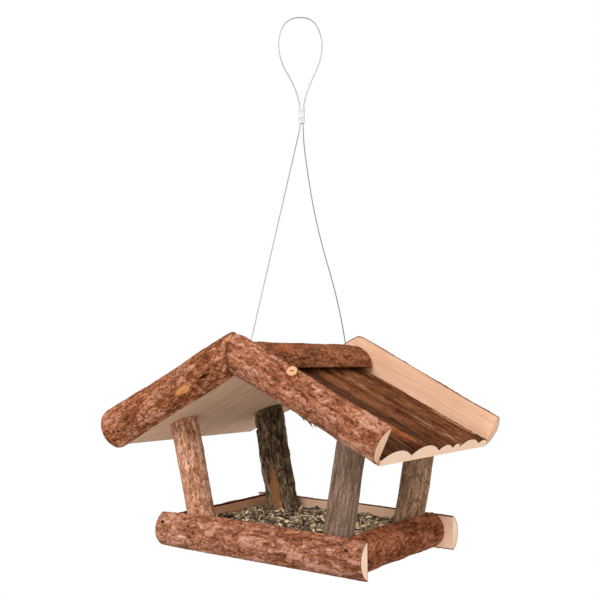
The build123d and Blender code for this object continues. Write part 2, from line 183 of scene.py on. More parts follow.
def wandering(tree, vector, scale, detail, reach):
    """Coordinates that stray by up to a reach, so that lines drawn on them bend"""
    inputs = {"Vector": vector, "Scale": scale, "Detail": detail}
    cloud = add(tree, "ShaderNodeTexNoise", inputs).outputs["Color"]
    stray = add(tree, "ShaderNodeVectorMath", {0: cloud, 1: (reach, reach, 0.0)}, operation="MULTIPLY")
    moved = add(tree, "ShaderNodeVectorMath", {0: vector, 1: stray.outputs[0]}, operation="ADD")
    return moved.outputs[0]


def finish_surface(tree, surface, shade, rough, height, bump, depth):
    """Colour, roughness and bump of one finish"""
    made = add(tree, "ShaderNodeBump", {"Strength": bump, "Distance": depth, "Height": height})
    tree.links.new(shade, surface.inputs["Base Color"])
    tree.links.new(rough, surface.inputs["Roughness"])
    tree.links.new(made.outputs["Normal"], surface.inputs["Normal"])


print("helpers for coordinates, noise and surfaces made")

# %% [markdown]
# ## The hanging wire
# One steel wire comes up out of two holes in the ridge, runs through a crimped sleeve and makes the loop
# that goes over a hook. A row of short cylinders could stand for it, but they would show their joints. A
# curve is right: a few control points give a smooth line, and a round bevel gives its thickness. The
# points are those of the CAD route, moved a few millimetres where the photograph shows the loop
# rounder and the back strand bowed.

# %% Metal finishes
def metal_finish(name, shade, dull, roughness):
    """Drawn metal with dull patches"""
    material, tree, surface = new_finish(name)
    place = object_place(tree)
    cloud = speckle(tree, place, 240.0, 4.0)
    scratch = speckle(tree, stretched(tree, place, (900.0, 900.0, 60.0)), 1.0, 2.0)
    patched = mix(tree, cloud, colour(*shade), colour(*dull))
    surface.inputs["Metallic"].default_value = 1.0
    finish_surface(tree, surface, patched, number_range(tree, cloud, *roughness), scratch, 0.25, 0.0002)
    return material


# Each look: the metal's shade, its dull patches and the range of its roughness
metal_looks = {
    "wire_steel": ((0.36, 0.35, 0.34), (0.20, 0.195, 0.19), (0.28, 0.5)),
    "fastener_steel": ((0.12, 0.10, 0.085), (0.06, 0.04, 0.03), (0.45, 0.7)),
    "nail_steel": ((0.045, 0.030, 0.022), (0.025, 0.016, 0.012), (0.6, 0.85)),
    "sleeve_aluminium": ((0.62, 0.62, 0.63), (0.36, 0.36, 0.37), (0.3, 0.5)),
}
metals = {name: metal_finish(name, *look) for name, look in metal_looks.items()}
print("metal finishes:", *metals)

# %% Route of the wire
wire_diameter = 1.2 * MM
eye_spacing = 84.4 * MM
eye_height = 214.983 * MM
corner_step = 23 * MM
loop_turn = math.radians(36.5)
across = Vector((math.cos(loop_turn), math.sin(loop_turn), 0))


def wire_point(sideways, height):
    """A point in the loop's own plane"""
    return across * sideways * MM + Vector((0, 0, height * MM))


def near(corner, far, distance):
    """A point on the run from a corner, a distance along it"""
    return corner + (far - corner).normalized() * distance


front_eye = Vector((0, -eye_spacing, eye_height))
back_eye = Vector((0, eye_spacing, eye_height))
up_points = [(-1.4, 450.5), (-1.4, 473.5), (-8.5, 497.0), (-24.0, 523.0), (-26.5, 551.0), (-15.0, 572.4)]
down_points = [(12.0, 572.4), (23.2, 549.0), (21.0, 523.0), (8.7, 497.0), (1.4, 473.5), (1.4, 450.5)]
back_points = [(-2.5, 8.3, 422.2), (-5.0, 34.3, 344.5), (1.9, 70.6, 257.4)]
up_side = [wire_point(*point) for point in up_points]
down_side = [wire_point(*point) for point in down_points]
back_strand = [Vector(point) * MM for point in back_points]
front_strand = [near(up_side[0], front_eye, corner_step)]
route = [front_eye, *front_strand, *up_side, *down_side, *back_strand, back_eye]
print("wire points:", len(route))

# %% The wire as a curve
wire_curve = bpy.data.curves.new("hanging_wire_line", "CURVE")
wire_curve.dimensions = "3D"
wire_curve.bevel_depth = wire_diameter / 2
wire_curve.bevel_resolution = 3
wire_curve.resolution_u = 16
wire_curve.use_fill_caps = True
line = wire_curve.splines.new("NURBS")
line.points.add(len(route) - 1)
for knot, place in zip(line.points, route):
    knot.co = (*place, 1.0)
line.order_u = 3
line.use_endpoint_u = True
wire_curve.materials.append(metals["wire_steel"])
wire = bpy.data.objects.new("hanging_wire_line", wire_curve)
scene.collection.objects.link(wire)
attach(wire, "hanger")
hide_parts("hanging_wire")
print("wire made:", wire.name)

# %% [markdown]
# ## Bark relief
# Bark is what makes this feeder. It could be painted on, or left to a bump map, but then every outline
# would stay smooth, so it is real relief. Every log starts as a flat grid that is rolled onto the log,
# and each point then moves out or in by a height. The same function gives each point a tone, a crack, a
# bare and a hue value, which are stored on the mesh for the colour, so colour and relief agree.

# %% Plates and cracks
bark_values = ("tone", "crack", "bare", "hue")


def clamped(value):
    """A value kept between 0 and 1"""
    return min(1.0, max(0.0, value))


def squeezed(spot, long, wide):
    """A spot on a log measured in plates, long along the log and narrow round it"""
    return Vector((spot.x / long, spot.y / wide, spot.z / wide))


def plate(spot, long, wide):
    """The mark of the plate that a spot lies on, and how far it is from the plate's edge"""
    distances, centres = noise.voronoi(squeezed(spot, long, wide))
    return noise.cell(centres[0] * 9.7), distances[1] - distances[0]


def edge_crack(gap, width):
    """1 in the crack between two plates, 0 away from it"""
    return max(0.0, 1.0 - gap / width)


print("values on the mesh:", *bark_values)

# %% Four kinds of bark
def flaky_bark(spot):
    """Thin plates in two sizes that lie over each other, as on the gables and the tray"""
    bend = noise.noise_vector(spot / 9.0) * 3.0
    wide_mark, wide_gap = plate(spot + bend, 27.0, 6.5)
    small_mark, small_gap = plate(spot + bend * 1.3, 10.0, 2.8)
    swell = noise.noise(spot / 24.0)
    drift = noise.noise(squeezed(spot, 34.0, 14.0))
    grit = noise.fractal(squeezed(spot, 3.4, 1.5), 0.8, 2.0, 3)
    broken = clamped(0.45 + 1.5 * noise.noise(spot / 5.0))
    crack = max(edge_crack(wide_gap, 0.16), edge_crack(small_gap, 0.12) * 0.6) * broken
    height = 0.5 * swell + 0.42 * wide_mark + 0.3 * small_mark + 0.2 * grit - 0.8 * crack
    tone = 0.5 + 0.10 * wide_mark + 0.14 * small_mark + 0.26 * grit + 0.12 * drift
    return height, tone, crack, 0.5 + 0.32 * wide_mark + 0.3 * small_mark + 0.4 * drift


def streaky_bark(spot):
    """Long low ridges up the slope, as on the roof slabs"""
    bend = noise.noise_vector(spot / 26.0) * 3.0
    ridges = 1.0 - 2.2 * abs(noise.noise(squeezed(spot + bend, 70.0, 6.0)))
    patch_mark, patch_gap = plate(spot + bend, 40.0, 8.0)
    swell = noise.noise(squeezed(spot, 50.0, 20.0))
    grit = noise.fractal(squeezed(spot, 12.0, 2.0), 0.8, 2.0, 3)
    crack = edge_crack(patch_gap, 0.08) * clamped(0.3 + 1.2 * noise.noise(spot / 18.0))
    height = 0.55 * swell + 0.4 * ridges + 0.3 * patch_mark + 0.18 * grit - 0.6 * crack
    tone = 0.5 + 0.07 * ridges + 0.10 * patch_mark + 0.16 * grit + 0.12 * swell
    return height, tone, crack, 0.5 + 0.5 * noise.noise(squeezed(spot, 60.0, 14.0)) + 0.2 * patch_mark


def fissured_bark(spot):
    """Old bark with furrows along the branch, as on the back left post"""
    bend = noise.noise_vector(spot / 12.0) * 2.6
    mark, gap = plate(spot + bend, 26.0, 5.5)
    swell = noise.noise(spot / 16.0)
    grit = noise.fractal(squeezed(spot, 5.0, 2.0), 0.8, 2.0, 3)
    furrow = edge_crack(gap, 0.2) * clamped(0.5 + noise.noise(spot / 9.0))
    height = 1.1 * swell + 0.6 * mark + 0.35 * grit - 1.2 * furrow
    tone = 0.5 + 0.16 * mark + 0.26 * grit + 0.14 * swell
    return height, tone, furrow * 0.8, 0.5 + 0.6 * noise.noise(spot / 11.0)


def smooth_bark(spot):
    """Young bark with fine streaks, as on the right-hand posts"""
    streak = noise.fractal(squeezed(spot, 30.0, 2.2), 0.9, 2.0, 4)
    swell = noise.noise(spot / 24.0)
    mark, gap = plate(spot, 22.0, 4.5)
    crack = edge_crack(gap, 0.07) * 0.4
    height = 0.5 * swell + 0.22 * streak + 0.12 * mark - 0.25 * crack
    tone = 0.5 + 0.26 * streak + 0.06 * mark + 0.12 * swell
    return height, tone, crack, 0.5 + 0.5 * noise.noise(squeezed(spot, 34.0, 6.0))


print("bark reliefs: flaky, streaky, fissured, smooth")

# %% Chips and slits
ragged_share, ragged_size = 0.35, 3.0
mark_reach, mark_fade = 1.15, 0.3


def with_marks(relief, marks, shift, axis=2):
    """A log's own relief: its bark, moved along so that no two logs are alike, and its chips and slits

    A mark has its place along and across the log, its half length, half width and depth, and how much bare
    wood it shows; below 0 it is a dark slit."""
    def own(*spot):
        height, tone, crack, hue = relief(Vector((spot[0] + shift, spot[1], spot[2])))
        bare = 0.0
        for mark_run, mark_spot, long, wide, depth, shows in marks:
            ragged = 1.0 + ragged_share * noise.noise(Vector(spot) / ragged_size)
            reach = math.hypot((spot[0] - mark_run) / long, (spot[axis] - mark_spot) / wide) * ragged
            inside = clamped((mark_reach - reach) / mark_fade)
            height = height * (1 - inside) - depth * inside
            bare = max(bare, inside * max(shows, 0.0))
            crack = max(crack * (1 - inside), inside * max(-shows, 0.0))
        return height, tone, crack, bare, hue
    return own


print("marks fade out over", mark_fade, "of their size")

# %% [markdown]
# ## Bark
# On the real logs the bark is red brown and flaky, with dark cracks and bare spots where it has come
# off. A picture of bark could be wrapped round them, but it would not follow the relief. So the finish
# reads its four values from the mesh: tone runs through a ramp from deep brown to pale pink brown, hue
# brings in plates of another colour, cracks go almost black and bare spots show the inner wood.

# %% Bark finish
weathered = colour(0.74, 0.66, 0.60)
small_flakes = 2.2


def flake_edges(tree, lay, flakes):
    """How far each spot is from the nearest edge between two flakes, in flakes"""
    inputs = {"Vector": stretched(tree, lay, (*flakes, 1.0)), "Scale": 1.0}
    settings = {"voronoi_dimensions": "2D", "feature": "DISTANCE_TO_EDGE"}
    return add(tree, "ShaderNodeTexVoronoi", inputs, **settings).outputs[0]


def bark_finish(name, shades, flakes, lines, contrast):
    """Bark in four tones, with plates of another hue, dark lines round its flakes and bare spots"""
    deep, dark, middle, light, plates, bare_wood = [colour(*shade) for shade in shades]
    material, tree, surface = new_finish(name)
    place, lay = object_place(tree), grain_place(tree)
    tone, crack, bare, hue = [mesh_value(tree, kind) for kind in bark_values]
    fine = speckle(tree, place, 560.0, 8.0, 0.8)
    broad = speckle(tree, place, 30.0, 3.0)
    spots = speckle(tree, stretched(tree, lay, (1.5 * flakes[0], 1.4 * flakes[1], 1.0)), 1.0, 4.0, 0.65)

    mottled = sums(tree, "ADD", tone, number_range(tree, fine, -0.6 * contrast, 0.6 * contrast))
    mottled = sums(tree, "ADD", mottled, number_range(tree, spots, -0.4 * contrast, 0.4 * contrast))
    shade = ramp(tree, mottled, [(0.06, deep), (0.32, dark), (0.55, middle), (0.92, light)])
    tinted = ramp(tree, mottled, [(0.1, dark), (0.55, plates), (1.0, light)])
    shade = mix(tree, times(tree, sharpened(tree, hue, 0.6, 0.8), 0.85), shade, tinted)
    shade = mix(tree, times(tree, sharpened(tree, hue, 0.25, 0.05), 0.4), shade, dark)
    shade = mix(tree, number_range(tree, broad, -0.3, 0.6), shade, weathered, "MULTIPLY")

    bent = wandering(tree, lay, 150.0, 4.0, 0.009)
    wide_edge = flake_edges(tree, bent, flakes)
    small_edge = flake_edges(tree, bent, [small_flakes * scale for scale in flakes])
    # painted highlight: a pale rim just inside each flake's edge line, where the flakes lift
    flake_edge_highlight = times(tree, sharpened(tree, wide_edge, 0.34, 0.12), sharpened(tree, spots, 0.45, 0.7))
    shade = mix(tree, times(tree, flake_edge_highlight, 0.55), shade, light)
    wide_line = times(tree, sharpened(tree, wide_edge, 0.16, 0.03), sharpened(tree, spots, 0.40, 0.58))
    small_line = times(tree, sharpened(tree, small_edge, 0.2, 0.03), sharpened(tree, spots, 0.60, 0.45))
    small_line = times(tree, small_line, sharpened(tree, broad, 0.42, 0.62))
    line = times(tree, sums(tree, "MAXIMUM", wide_line, small_line), lines)
    shade = mix(tree, sums(tree, "MAXIMUM", times(tree, crack, 0.85), line), shade, deep)

    grain = speckle(tree, stretched(tree, lay, (40.0, 700.0, 1.0)), 1.0, 4.0)
    wood = ramp(tree, grain, [(0.3, middle), (0.5, bare_wood), (0.75, bare_wood)])
    shade = mix(tree, bare, shade, wood)
    relief = sums(tree, "SUBTRACT", fine, times(tree, line, 0.4))
    finish_surface(tree, surface, shade, number_range(tree, fine, 0.72, 0.98), relief, 0.7, 0.0009)
    surface.inputs["Specular IOR Level"].default_value = 0.06
    return material


print("flakes in two sizes,", small_flakes, "to 1")

# %% Barks of the half logs and slabs
inner_wood = (0.66, 0.28, 0.10)
pale_wood = (0.74, 0.48, 0.32)
flaky_sizes = (58.0, 180.0)
# Each look: its deep, dark, middle and light tone, its plates and its bare wood; how many flakes go into a
# metre along and round the log; the strength of the lines; the strength of the mottling
bark_looks = {
    "gable_bark": ([(0.040, 0.010, 0.004), (0.190, 0.052, 0.017), (0.45, 0.148, 0.058),
                    (0.74, 0.345, 0.190), (0.58, 0.260, 0.164), inner_wood], flaky_sizes, 0.85, 1.0),
    "front_bark": ([(0.048, 0.0135, 0.006), (0.203, 0.058, 0.022), (0.47, 0.170, 0.081),
                    (0.76, 0.39, 0.25), (0.58, 0.272, 0.186), inner_wood], flaky_sizes, 0.65, 0.55),
    "rail_bark": ([(0.054, 0.016, 0.007), (0.240, 0.076, 0.034), (0.51, 0.204, 0.108),
                   (0.80, 0.43, 0.29), (0.61, 0.295, 0.202), pale_wood], flaky_sizes, 0.65, 0.55),
    "side_bark": ([(0.032, 0.008, 0.003), (0.145, 0.040, 0.013), (0.325, 0.099, 0.039),
                   (0.54, 0.21, 0.10), (0.40, 0.145, 0.071), inner_wood], flaky_sizes, 0.7, 0.9),
    "slab_bark": ([(0.018, 0.005, 0.0015), (0.090, 0.026, 0.0078), (0.207, 0.064, 0.0213),
                   (0.42, 0.185, 0.082), (0.36, 0.090, 0.019), (0.74, 0.43, 0.23)],
                  (17.0, 190.0), 0.75, 1.0),
    "cap_bark": ([(0.034, 0.009, 0.003), (0.145, 0.042, 0.014), (0.32, 0.110, 0.044),
                  (0.54, 0.245, 0.13), (0.38, 0.115, 0.041), (0.32, 0.075, 0.026)],
                 (60.0, 165.0), 0.75, 0.85),
}
barks = {name: bark_finish(name, *look) for name, look in bark_looks.items()}
print("bark finishes:", *barks)

# %% [markdown]
# ## Sawn wood
# Where a log was cut, its softwood is pale, with streaks along the flats and rings on the ends. One
# noise on Object coordinates could colour both, but its grain would not turn with the slopes. So sawn
# faces read a UV map that is laid along the grain, and sawn ends one that is centred on the pith, which
# makes the rings come out round.

# %% Sawn wood
def sawn_grain(tree, lay, rings):
    """Streaks along the grain, or rings round the pith on an end"""
    if not rings:
        streaks = speckle(tree, stretched(tree, lay, (9.0, 330.0, 1.0)), 1.0, 5.0, 0.7)
        return sharpened(tree, streaks, 0.34, 0.72)
    bent = wandering(tree, lay, 90.0, 2.0, 0.004)
    inputs = {"Vector": bent, "Scale": 120.0, "Distortion": 0.6, "Detail": 2.0}
    settings = {"wave_type": "RINGS", "rings_direction": "Z"}
    wave = add(tree, "ShaderNodeTexWave", inputs, **settings).outputs["Fac"]
    return number_range(tree, wave, 0.0, 0.55)


def sawn_finish(name, pale, streak, stain, rings):
    """Sawn softwood with its grain, its stains, its fibres and darker specks"""
    pale, streak, stain = colour(*pale), colour(*streak), colour(*stain)
    material, tree, surface = new_finish(name)
    lay = grain_place(tree)
    fibre = speckle(tree, stretched(tree, lay, (110.0, 1300.0, 1.0)), 1.0, 3.0)
    cloud = sharpened(tree, speckle(tree, lay, 32.0, 4.0, 0.65), 0.3, 0.7)
    speck = sharpened(tree, speckle(tree, lay, 420.0, 2.0), 0.66, 0.74)
    shade = mix(tree, sawn_grain(tree, lay, rings), pale, streak)
    shade = mix(tree, cloud, shade, stain, "MULTIPLY")
    shade = mix(tree, times(tree, sharpened(tree, fibre, 0.4, 0.75), 0.45), shade, streak)
    shade = mix(tree, times(tree, speck, 0.5), shade, streak)
    finish_surface(tree, surface, shade, number_range(tree, fibre, 0.65, 0.9), fibre, 0.35, 0.0005)
    surface.inputs["Specular IOR Level"].default_value = 0.3
    return material


# Each look: the pale wood, its streaks, its stains, and whether it has rings
sawn_looks = {
    "sawn_face": ((1.0, 0.68, 0.49), (0.72, 0.40, 0.23), (0.93, 0.85, 0.77), False),
    # The next two are brighter copies of sawn_face: painted light on the rails' inner flats, which lie in
    # the roof's shade
    "painted_light_rail_face": ((1.0, 0.62, 0.41), (0.88, 0.46, 0.26), (1.0, 0.93, 0.86), False),
    "painted_light_face": ((1.0, 0.725, 0.535), (0.95, 0.60, 0.41), (1.0, 0.95, 0.90), False),
    "sawn_under": ((0.90, 0.625, 0.435), (0.46, 0.285, 0.175), (0.86, 0.80, 0.745), False),
    "sawn_end": ((1.0, 0.75, 0.57), (0.86, 0.56, 0.38), (0.94, 0.88, 0.81), True),
    "board_end_wood": ((1.0, 0.69, 0.49), (0.58, 0.29, 0.15), (0.88, 0.78, 0.68), True),
    "stub_wood": ((0.82, 0.50, 0.30), (0.46, 0.22, 0.10), (0.90, 0.82, 0.74), True),
}
sawn = {name: sawn_finish(name, *look) for name, look in sawn_looks.items()}
print("sawn finishes:", *sawn)

# %% [markdown]
# ## A log from a grid
# Every half log, slab and post is made the same way. A cylinder with a Displace modifier would be
# quicker, but its ends could not follow a mitre and its bark would have no thickness. A grid has one row
# of faces for each step along the log and one column for each step round it, and a section function says
# where the bark is. The outermost rows and columns turn in over the sawn faces and are the bark's own
# thickness, the dark rim round each pale end. The sides left open are then bridged for the sawn flat and
# filled for the sawn ends.

# %% Roll a grid into a log
grid_step = 0.8
least_steps = 8
bark_rim = 1.1
rim_values = (0.2, 0.75, 0.0, 0.3)
edge_lift = 0.3
edge_fade = 4


def steps(length):
    """How many grid steps cover a length"""
    return max(least_steps, round(length / grid_step))


def roll_log(length, around, section, span, place, relief, shift, closed=False):
    """The bark of a log, as a mesh with its log coordinates and its two long sides"""
    rows, columns = steps(length), steps(around)
    bm = bmesh.new()
    layers = [bm.verts.layers.float.new(name) for name in bark_values]
    sheet = bm.loops.layers.uv.new("grain")
    bmesh.ops.create_grid(bm, x_segments=rows, y_segments=columns, size=1.0)
    local = {}
    laid = {}
    sides = ([], [])
    for vert in bm.verts:
        row = round((vert.co.x + 1) / 2 * rows)
        column = round((vert.co.y + 1) / 2 * columns)
        share = (row - 1) / (rows - 2)
        turn = column / columns if closed else (column - 1) / (columns - 2)
        rim = not 0 <= share <= 1
        lip = not closed and not 0 <= turn <= 1
        share = clamped(share)
        first, second, out_first, out_second = section(share, turn)
        start, end = span(first, second)
        run = start + (end - start) * share
        height, *values = relief(run, first, second)
        inward = min(row, rows - row)
        if not closed:
            inward = min(inward, column, columns - column)
        lift = height * (edge_lift + (1 - edge_lift) * min(inward, edge_fade) / edge_fade)
        if rim:
            lift = -bark_rim
        if lip:
            lift = 0.0
        if rim or lip:
            values = rim_values
        local[vert] = (run, first + out_first * lift, second + out_second * lift)
        laid[vert] = ((run + shift) * MM, turn * around * MM)
        vert.co = place(*local[vert]) * MM
        for layer, value in zip(layers, values):
            vert[layer] = value
        if column in (0, columns):
            sides[column > 0].append(vert)
    for face in bm.faces:
        face.smooth = True
        for loop in face.loops:
            loop[sheet].uv = laid[loop.vert]
    if closed:
        bmesh.ops.remove_doubles(bm, verts=bm.verts, dist=1e-6)
    return bm, local, sides


print("grid step, mm:", grid_step)

# %% Sawn flats and ends
flat_part, end_part = 1, 2  # the bark is part 0


def edge_chain(bm, verts):
    """The edges between the vertices of one long side"""
    wanted = set(verts)
    return [edge for edge in bm.edges if edge.verts[0] in wanted and edge.verts[1] in wanted]


def lay_grain(bm, local, faces, part, pith):
    """Material part and grain coordinates, in metres, of sawn faces"""
    sheet = bm.loops.layers.uv["grain"]
    for face in faces:
        face.material_index = part
        face.smooth = False
        for loop in face.loops:
            run, first, second = local[loop.vert]
            spot = (run, first + second) if part == flat_part else (first - pith[0], second - pith[1])
            loop[sheet].uv = (spot[0] * MM, spot[1] * MM)


def close_log(bm, local, sides, pith):
    """The sawn flat between two long sides, if there are any, and both sawn ends"""
    if sides:
        chains = edge_chain(bm, sides[0]) + edge_chain(bm, sides[1])
        flat = bmesh.ops.bridge_loops(bm, edges=chains)["faces"]
        lay_grain(bm, local, flat, flat_part, (0, 0))
    rims = [edge for edge in bm.edges if edge.is_boundary]
    ends = bmesh.ops.holes_fill(bm, edges=rims, sides=0)["faces"]
    lay_grain(bm, local, ends, end_part, pith)
    bmesh.ops.recalc_face_normals(bm, faces=bm.faces)


def make_piece(bm, name, body, slot, finishes, *nodes):
    """A mesh as a piece that rides on a body and stands for CAD nodes"""
    mesh = bpy.data.meshes.new(name)
    bm.to_mesh(mesh)
    bm.free()
    for finish in finishes:
        mesh.materials.append(finish)
    piece = bpy.data.objects.new(name, mesh)
    scene.collection.objects.link(piece)
    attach(piece, body)
    if nodes:
        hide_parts(*nodes)
    return piece


print("parts of a log: bark 0, flat", flat_part, "and end", end_part)

# %% Half-round sections
def share_at(shares, place):
    """A share between its even steps, on a smooth curve through them; place goes from 0 to 1"""
    last = len(shares) - 1
    step = clamped(place) * last
    index = min(int(step), last - 1)
    part = step - index
    before, start, end, after = (shares[min(last, max(0, index + offset))] for offset in (-1, 0, 1, 2))
    slope = (end - before) * part
    bend = (2 * before - 5 * start + 4 * end - after) * part ** 2
    twist = (3 * start - before - 3 * end + after) * part ** 3
    return start + (slope + bend + twist) / 2


def half_round(sizes, skirt=0.0, upper_lip=bark_rim):
    """The section of a half log: sizes gives its two edges and its depth at a share of its length"""
    def section(share, turn):
        low, high, deep = sizes(share)
        half = (high - low) / 2
        if turn < 0:
            return -skirt, low + bark_rim, 0.0, 0.0
        if turn > 1:
            return -skirt, high - upper_lip, 0.0, 0.0
        radius = (half * half + deep * deep) / (2 * deep)
        angle = math.acos((radius - deep) / radius) * (2 * turn - 1)
        out, up = math.cos(angle), math.sin(angle)
        return deep - radius + radius * out, low + half + radius * up, out, up
    return section


print("bark rim, mm:", bark_rim)

# %% [markdown]
# ## Tray rails
# Four half logs lie with their flats against the tray floor and their bark outside. The long rails run
# past the corners, so their pale sawn ends show. They could be copies of one log, but the same bark
# would then show four times, so each is rolled on its own and swells in its own way. Near each nail the
# bark is pressed flat, as a hammer leaves it, and the front rail gets a little darker towards its right
# end.

# %% Sizes of the rails
log_spacing = 1000.0
log_numbers = {"rails": 1, "boards": 6, "slabs": 11, "cap": 31, "posts": 40}
flat_pith = -4.0
rail_height = 37.0
rail_girth = 56.0
# How much darker the bark gets towards a rail's right end
rail_right_darkening = {"tray_front_rail": 0.14}
# The rails' inner flats get a brighter copy of sawn wood, painted light where the roof shades them
rail_faces = {"tray_left_rail": "painted_light_rail_face"}
rail_lips = {"tray_left_rail": 2.6, "tray_back_rail": 1.8}
tray_half_width = 111.0
tray_half_depth = 80.5
nail_runs = (-115.0, 115.0)
nail_heights = (14.4, 26.3)
nail_marks = [(run, height, 3.4, 3.4, 0.1, 0.0) for run in nail_runs for height in nail_heights]
rail_chips = [(-85.5, 15.2, 6.0, 2.2, 0.5, 1.0), (-48.0, 22.5, 5.5, 2.2, 0.0, 0.45),
              (40.0, 30.0, 4.0, 1.5, 0.8, -0.8)]
# Each rail: its depth, its girth at even steps along it, its bark and its marks
rails = {
    "tray_front_rail": (12.0, (0.95, 1.0, 1.025, 1.03, 1.01, 0.985, 0.965), "rail_bark",
                        nail_marks + rail_chips),
    "tray_back_rail": (12.0, (0.98, 1.0, 0.985, 1.0, 0.99, 0.965, 0.95), "rail_bark", nail_marks),
    "tray_left_rail": (14.0, (0.905, 0.925, 0.935, 0.93, 0.94, 0.955, 0.97), "side_bark", []),
    "tray_right_rail": (14.0, (0.97, 1.0, 1.02, 1.015, 1.0, 0.985, 0.99), "side_bark", []),
}
print("nails in a long rail:", len(nail_marks))

# %% Tray rails
def rail_place(name):
    """Where a rail's length, depth and height lie in the frame"""
    if name == "tray_front_rail":
        return lambda run, out, up: Vector((run, -tray_half_depth - out, up))
    if name == "tray_back_rail":
        return lambda run, out, up: Vector((run, tray_half_depth + out, up))
    outward = -1 if name == "tray_left_rail" else 1
    return lambda run, out, up: Vector((outward * (tray_half_width + out), run, up))


def make_rail(name, shift):
    """One rail, as long as its CAD box"""
    depth, girths, bark, marks = rails[name]
    low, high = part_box(name)
    axis = 0 if high[0] - low[0] > high[1] - low[1] else 1
    start, end = low[axis] / MM, high[axis] / MM

    def sizes(share):
        girth = share_at(girths, share)
        return 0.0, rail_height * girth, depth * girth

    def span(out, up):
        return start, end

    own = with_marks(flaky_bark, marks, shift)

    def relief(run, out, up):
        height, tone, crack, bare, hue = own(run, out, up)
        share = (run - start) / (end - start)
        return height, tone - rail_right_darkening.get(name, 0.0) * max(0.0, 2 * share - 1), crack, bare, hue

    section = half_round(sizes, upper_lip=rail_lips.get(name, bark_rim))
    bm, local, sides = roll_log(end - start, rail_girth, section, span, rail_place(name), relief, shift)
    close_log(bm, local, sides, (flat_pith, rail_height / 2))
    # the flat gets painted light: a brighter copy of sawn wood
    finishes = [barks[bark], sawn[rail_faces.get(name, "painted_light_face")], sawn["sawn_end"]]
    make_piece(bm, name + "_log", "house", "flaky_bark", finishes, name)


for number, name in enumerate(rails, log_numbers["rails"]):
    make_rail(name, log_spacing * number)
print("rails made:", len(rails))

# %% [markdown]
# ## Bargeboards
# Two half logs cover each gable and meet at the peak in a mitre. They could be made straight and cut by
# a boolean, but that would break up the grid. So they are rolled in the slope's own directions: run is
# measured down the slope, rise across it. The mitre is then only a span that starts earlier where the
# rise is greater, and the grid ends on the mitre plane by itself. Some corners are worn: the log gets
# thinner there over a few millimetres.

# %% Slopes of the roof
roof_pitch = math.radians(25.5)
eave_half_width = 160.0
eave_height = 105.6
joint_gap = 0.2
seam_gap = 0.3
gable = 107.0
slope_rise, slope_run = math.sin(roof_pitch), math.cos(roof_pitch)
apex = eave_height + eave_half_width * math.tan(roof_pitch)


def on_slope(side, run, rise, along):
    """A point on the left (-1) or right (1) slope"""
    sideways = run * slope_run + rise * slope_rise
    return Vector((side * sideways, along, apex - run * slope_rise + rise * slope_run))


print("apex of the slopes, mm:", round(apex, 1))

# %% Sizes of the bargeboards
board_height = 36.5
board_depth = 14.0
board_girth = 58.0
mitre_start = -8.0
# Within this distance of the mitre the bark sinks and goes dark
mitre_sink = 2.4
overcut = 30.0
# Worn corners: how much is gone at the corner, and how far the wear reaches
peak_wear = {"bargeboard_front_left": (2.6, 7.0), "bargeboard_front_right": (2.8, 13.0),
             "bargeboard_back_right": (3.6, 10.0)}
end_wear = {"bargeboard_front_left": (3.0, 11.0)}
end_slants = {"bargeboard_front_left": 0.08}
# Each board: its slope, its gable, its reach, its lift, its girth at even steps along it and its marks
boards = {
    "bargeboard_front_left": (-1, -1, 184.6, 0.037, (0.99, 1.13, 1.16, 1.13, 1.15, 1.21, 1.25),
                              [(59.5, 11.0, 10.0, 3.2, 0.9, 1.0), (29.0, 10.5, 6.5, 2.0, 2.4, -1.2),
                               (38.0, 9.0, 7.0, 0.9, 0.8, -0.7), (-14.4, 31.5, 1.5, 4.6, 0.4, 1.0)]),
    "bargeboard_front_right": (1, -1, 173.5, 0.0, (1.12, 1.08, 1.0, 1.01, 0.975, 1.0, 0.98),
                               [(112.0, 5.0, 7.0, 1.2, 0.7, -0.7)]),
    "bargeboard_back_left": (-1, 1, 178.0, 0.0, (1.05, 1.06, 1.05, 1.04, 1.02, 1.0, 0.98), []),
    "bargeboard_back_right": (1, 1, 175.0, 0.0, (1.28, 1.255, 1.19, 1.12, 1.035, 0.96, 0.93), []),
}
print("boards with worn peaks:", len(peak_wear))

# %% Bargeboards
def wear(worn, distance):
    """How much of a board's edge is broken away at a distance from its corner"""
    if worn is None:
        return 0.0
    depth, reach = worn
    return depth * max(0.0, 1 - distance / reach) ** 1.5


def make_board(name, shift):
    """One bargeboard, from the mitre at the peak to its lower end"""
    side, outward, reach, lift, girths, marks = boards[name]
    flat = outward * (gable + joint_gap)
    axis = board_height * (0.5 + lift)
    board_end = (reach - (axis + board_height * girths[-1] / 2) * slope_rise) / slope_run

    def sizes(share):
        run = mitre_start + (board_end - mitre_start) * share
        girth = share_at(girths, (run + overcut) / (board_end + overcut))
        half = board_height * girth / 2
        peak_worn = wear(peak_wear.get(name), run - mitre_start)
        end_worn = wear(end_wear.get(name), board_end - run)
        return axis - half + end_worn, axis + half - peak_worn, board_depth * (1 + girth) / 2

    def place(run, out, rise):
        return on_slope(side, run, rise, flat + outward * out)

    def span(out, rise):
        slant = end_slants.get(name, 0.0) * (axis - rise)
        return (seam_gap / 2 - rise * slope_rise) / slope_run, board_end + slant

    own = with_marks(flaky_bark, marks, shift)

    def relief(run, out, rise):
        height, tone, crack, bare, hue = own(run, out, rise)
        worn = max(0.0, 1 - (run - span(out, rise)[0]) / mitre_sink)
        return height - worn, tone, max(crack, worn - bare), bare, hue

    length = board_end - mitre_start
    bm, local, sides = roll_log(length, board_girth, half_round(sizes), span, place, relief, shift)
    close_log(bm, local, sides, (flat_pith, board_height / 2))
    bark = "front_bark" if name == "bargeboard_front_right" else "gable_bark"
    finishes = [barks[bark], sawn["sawn_face"], sawn["board_end_wood"]]
    make_piece(bm, name + "_log", "house", "flaky_bark", finishes, name)


for number, name in enumerate(boards, log_numbers["boards"]):
    make_board(name, log_spacing * number)
print("bargeboards made:", len(boards))
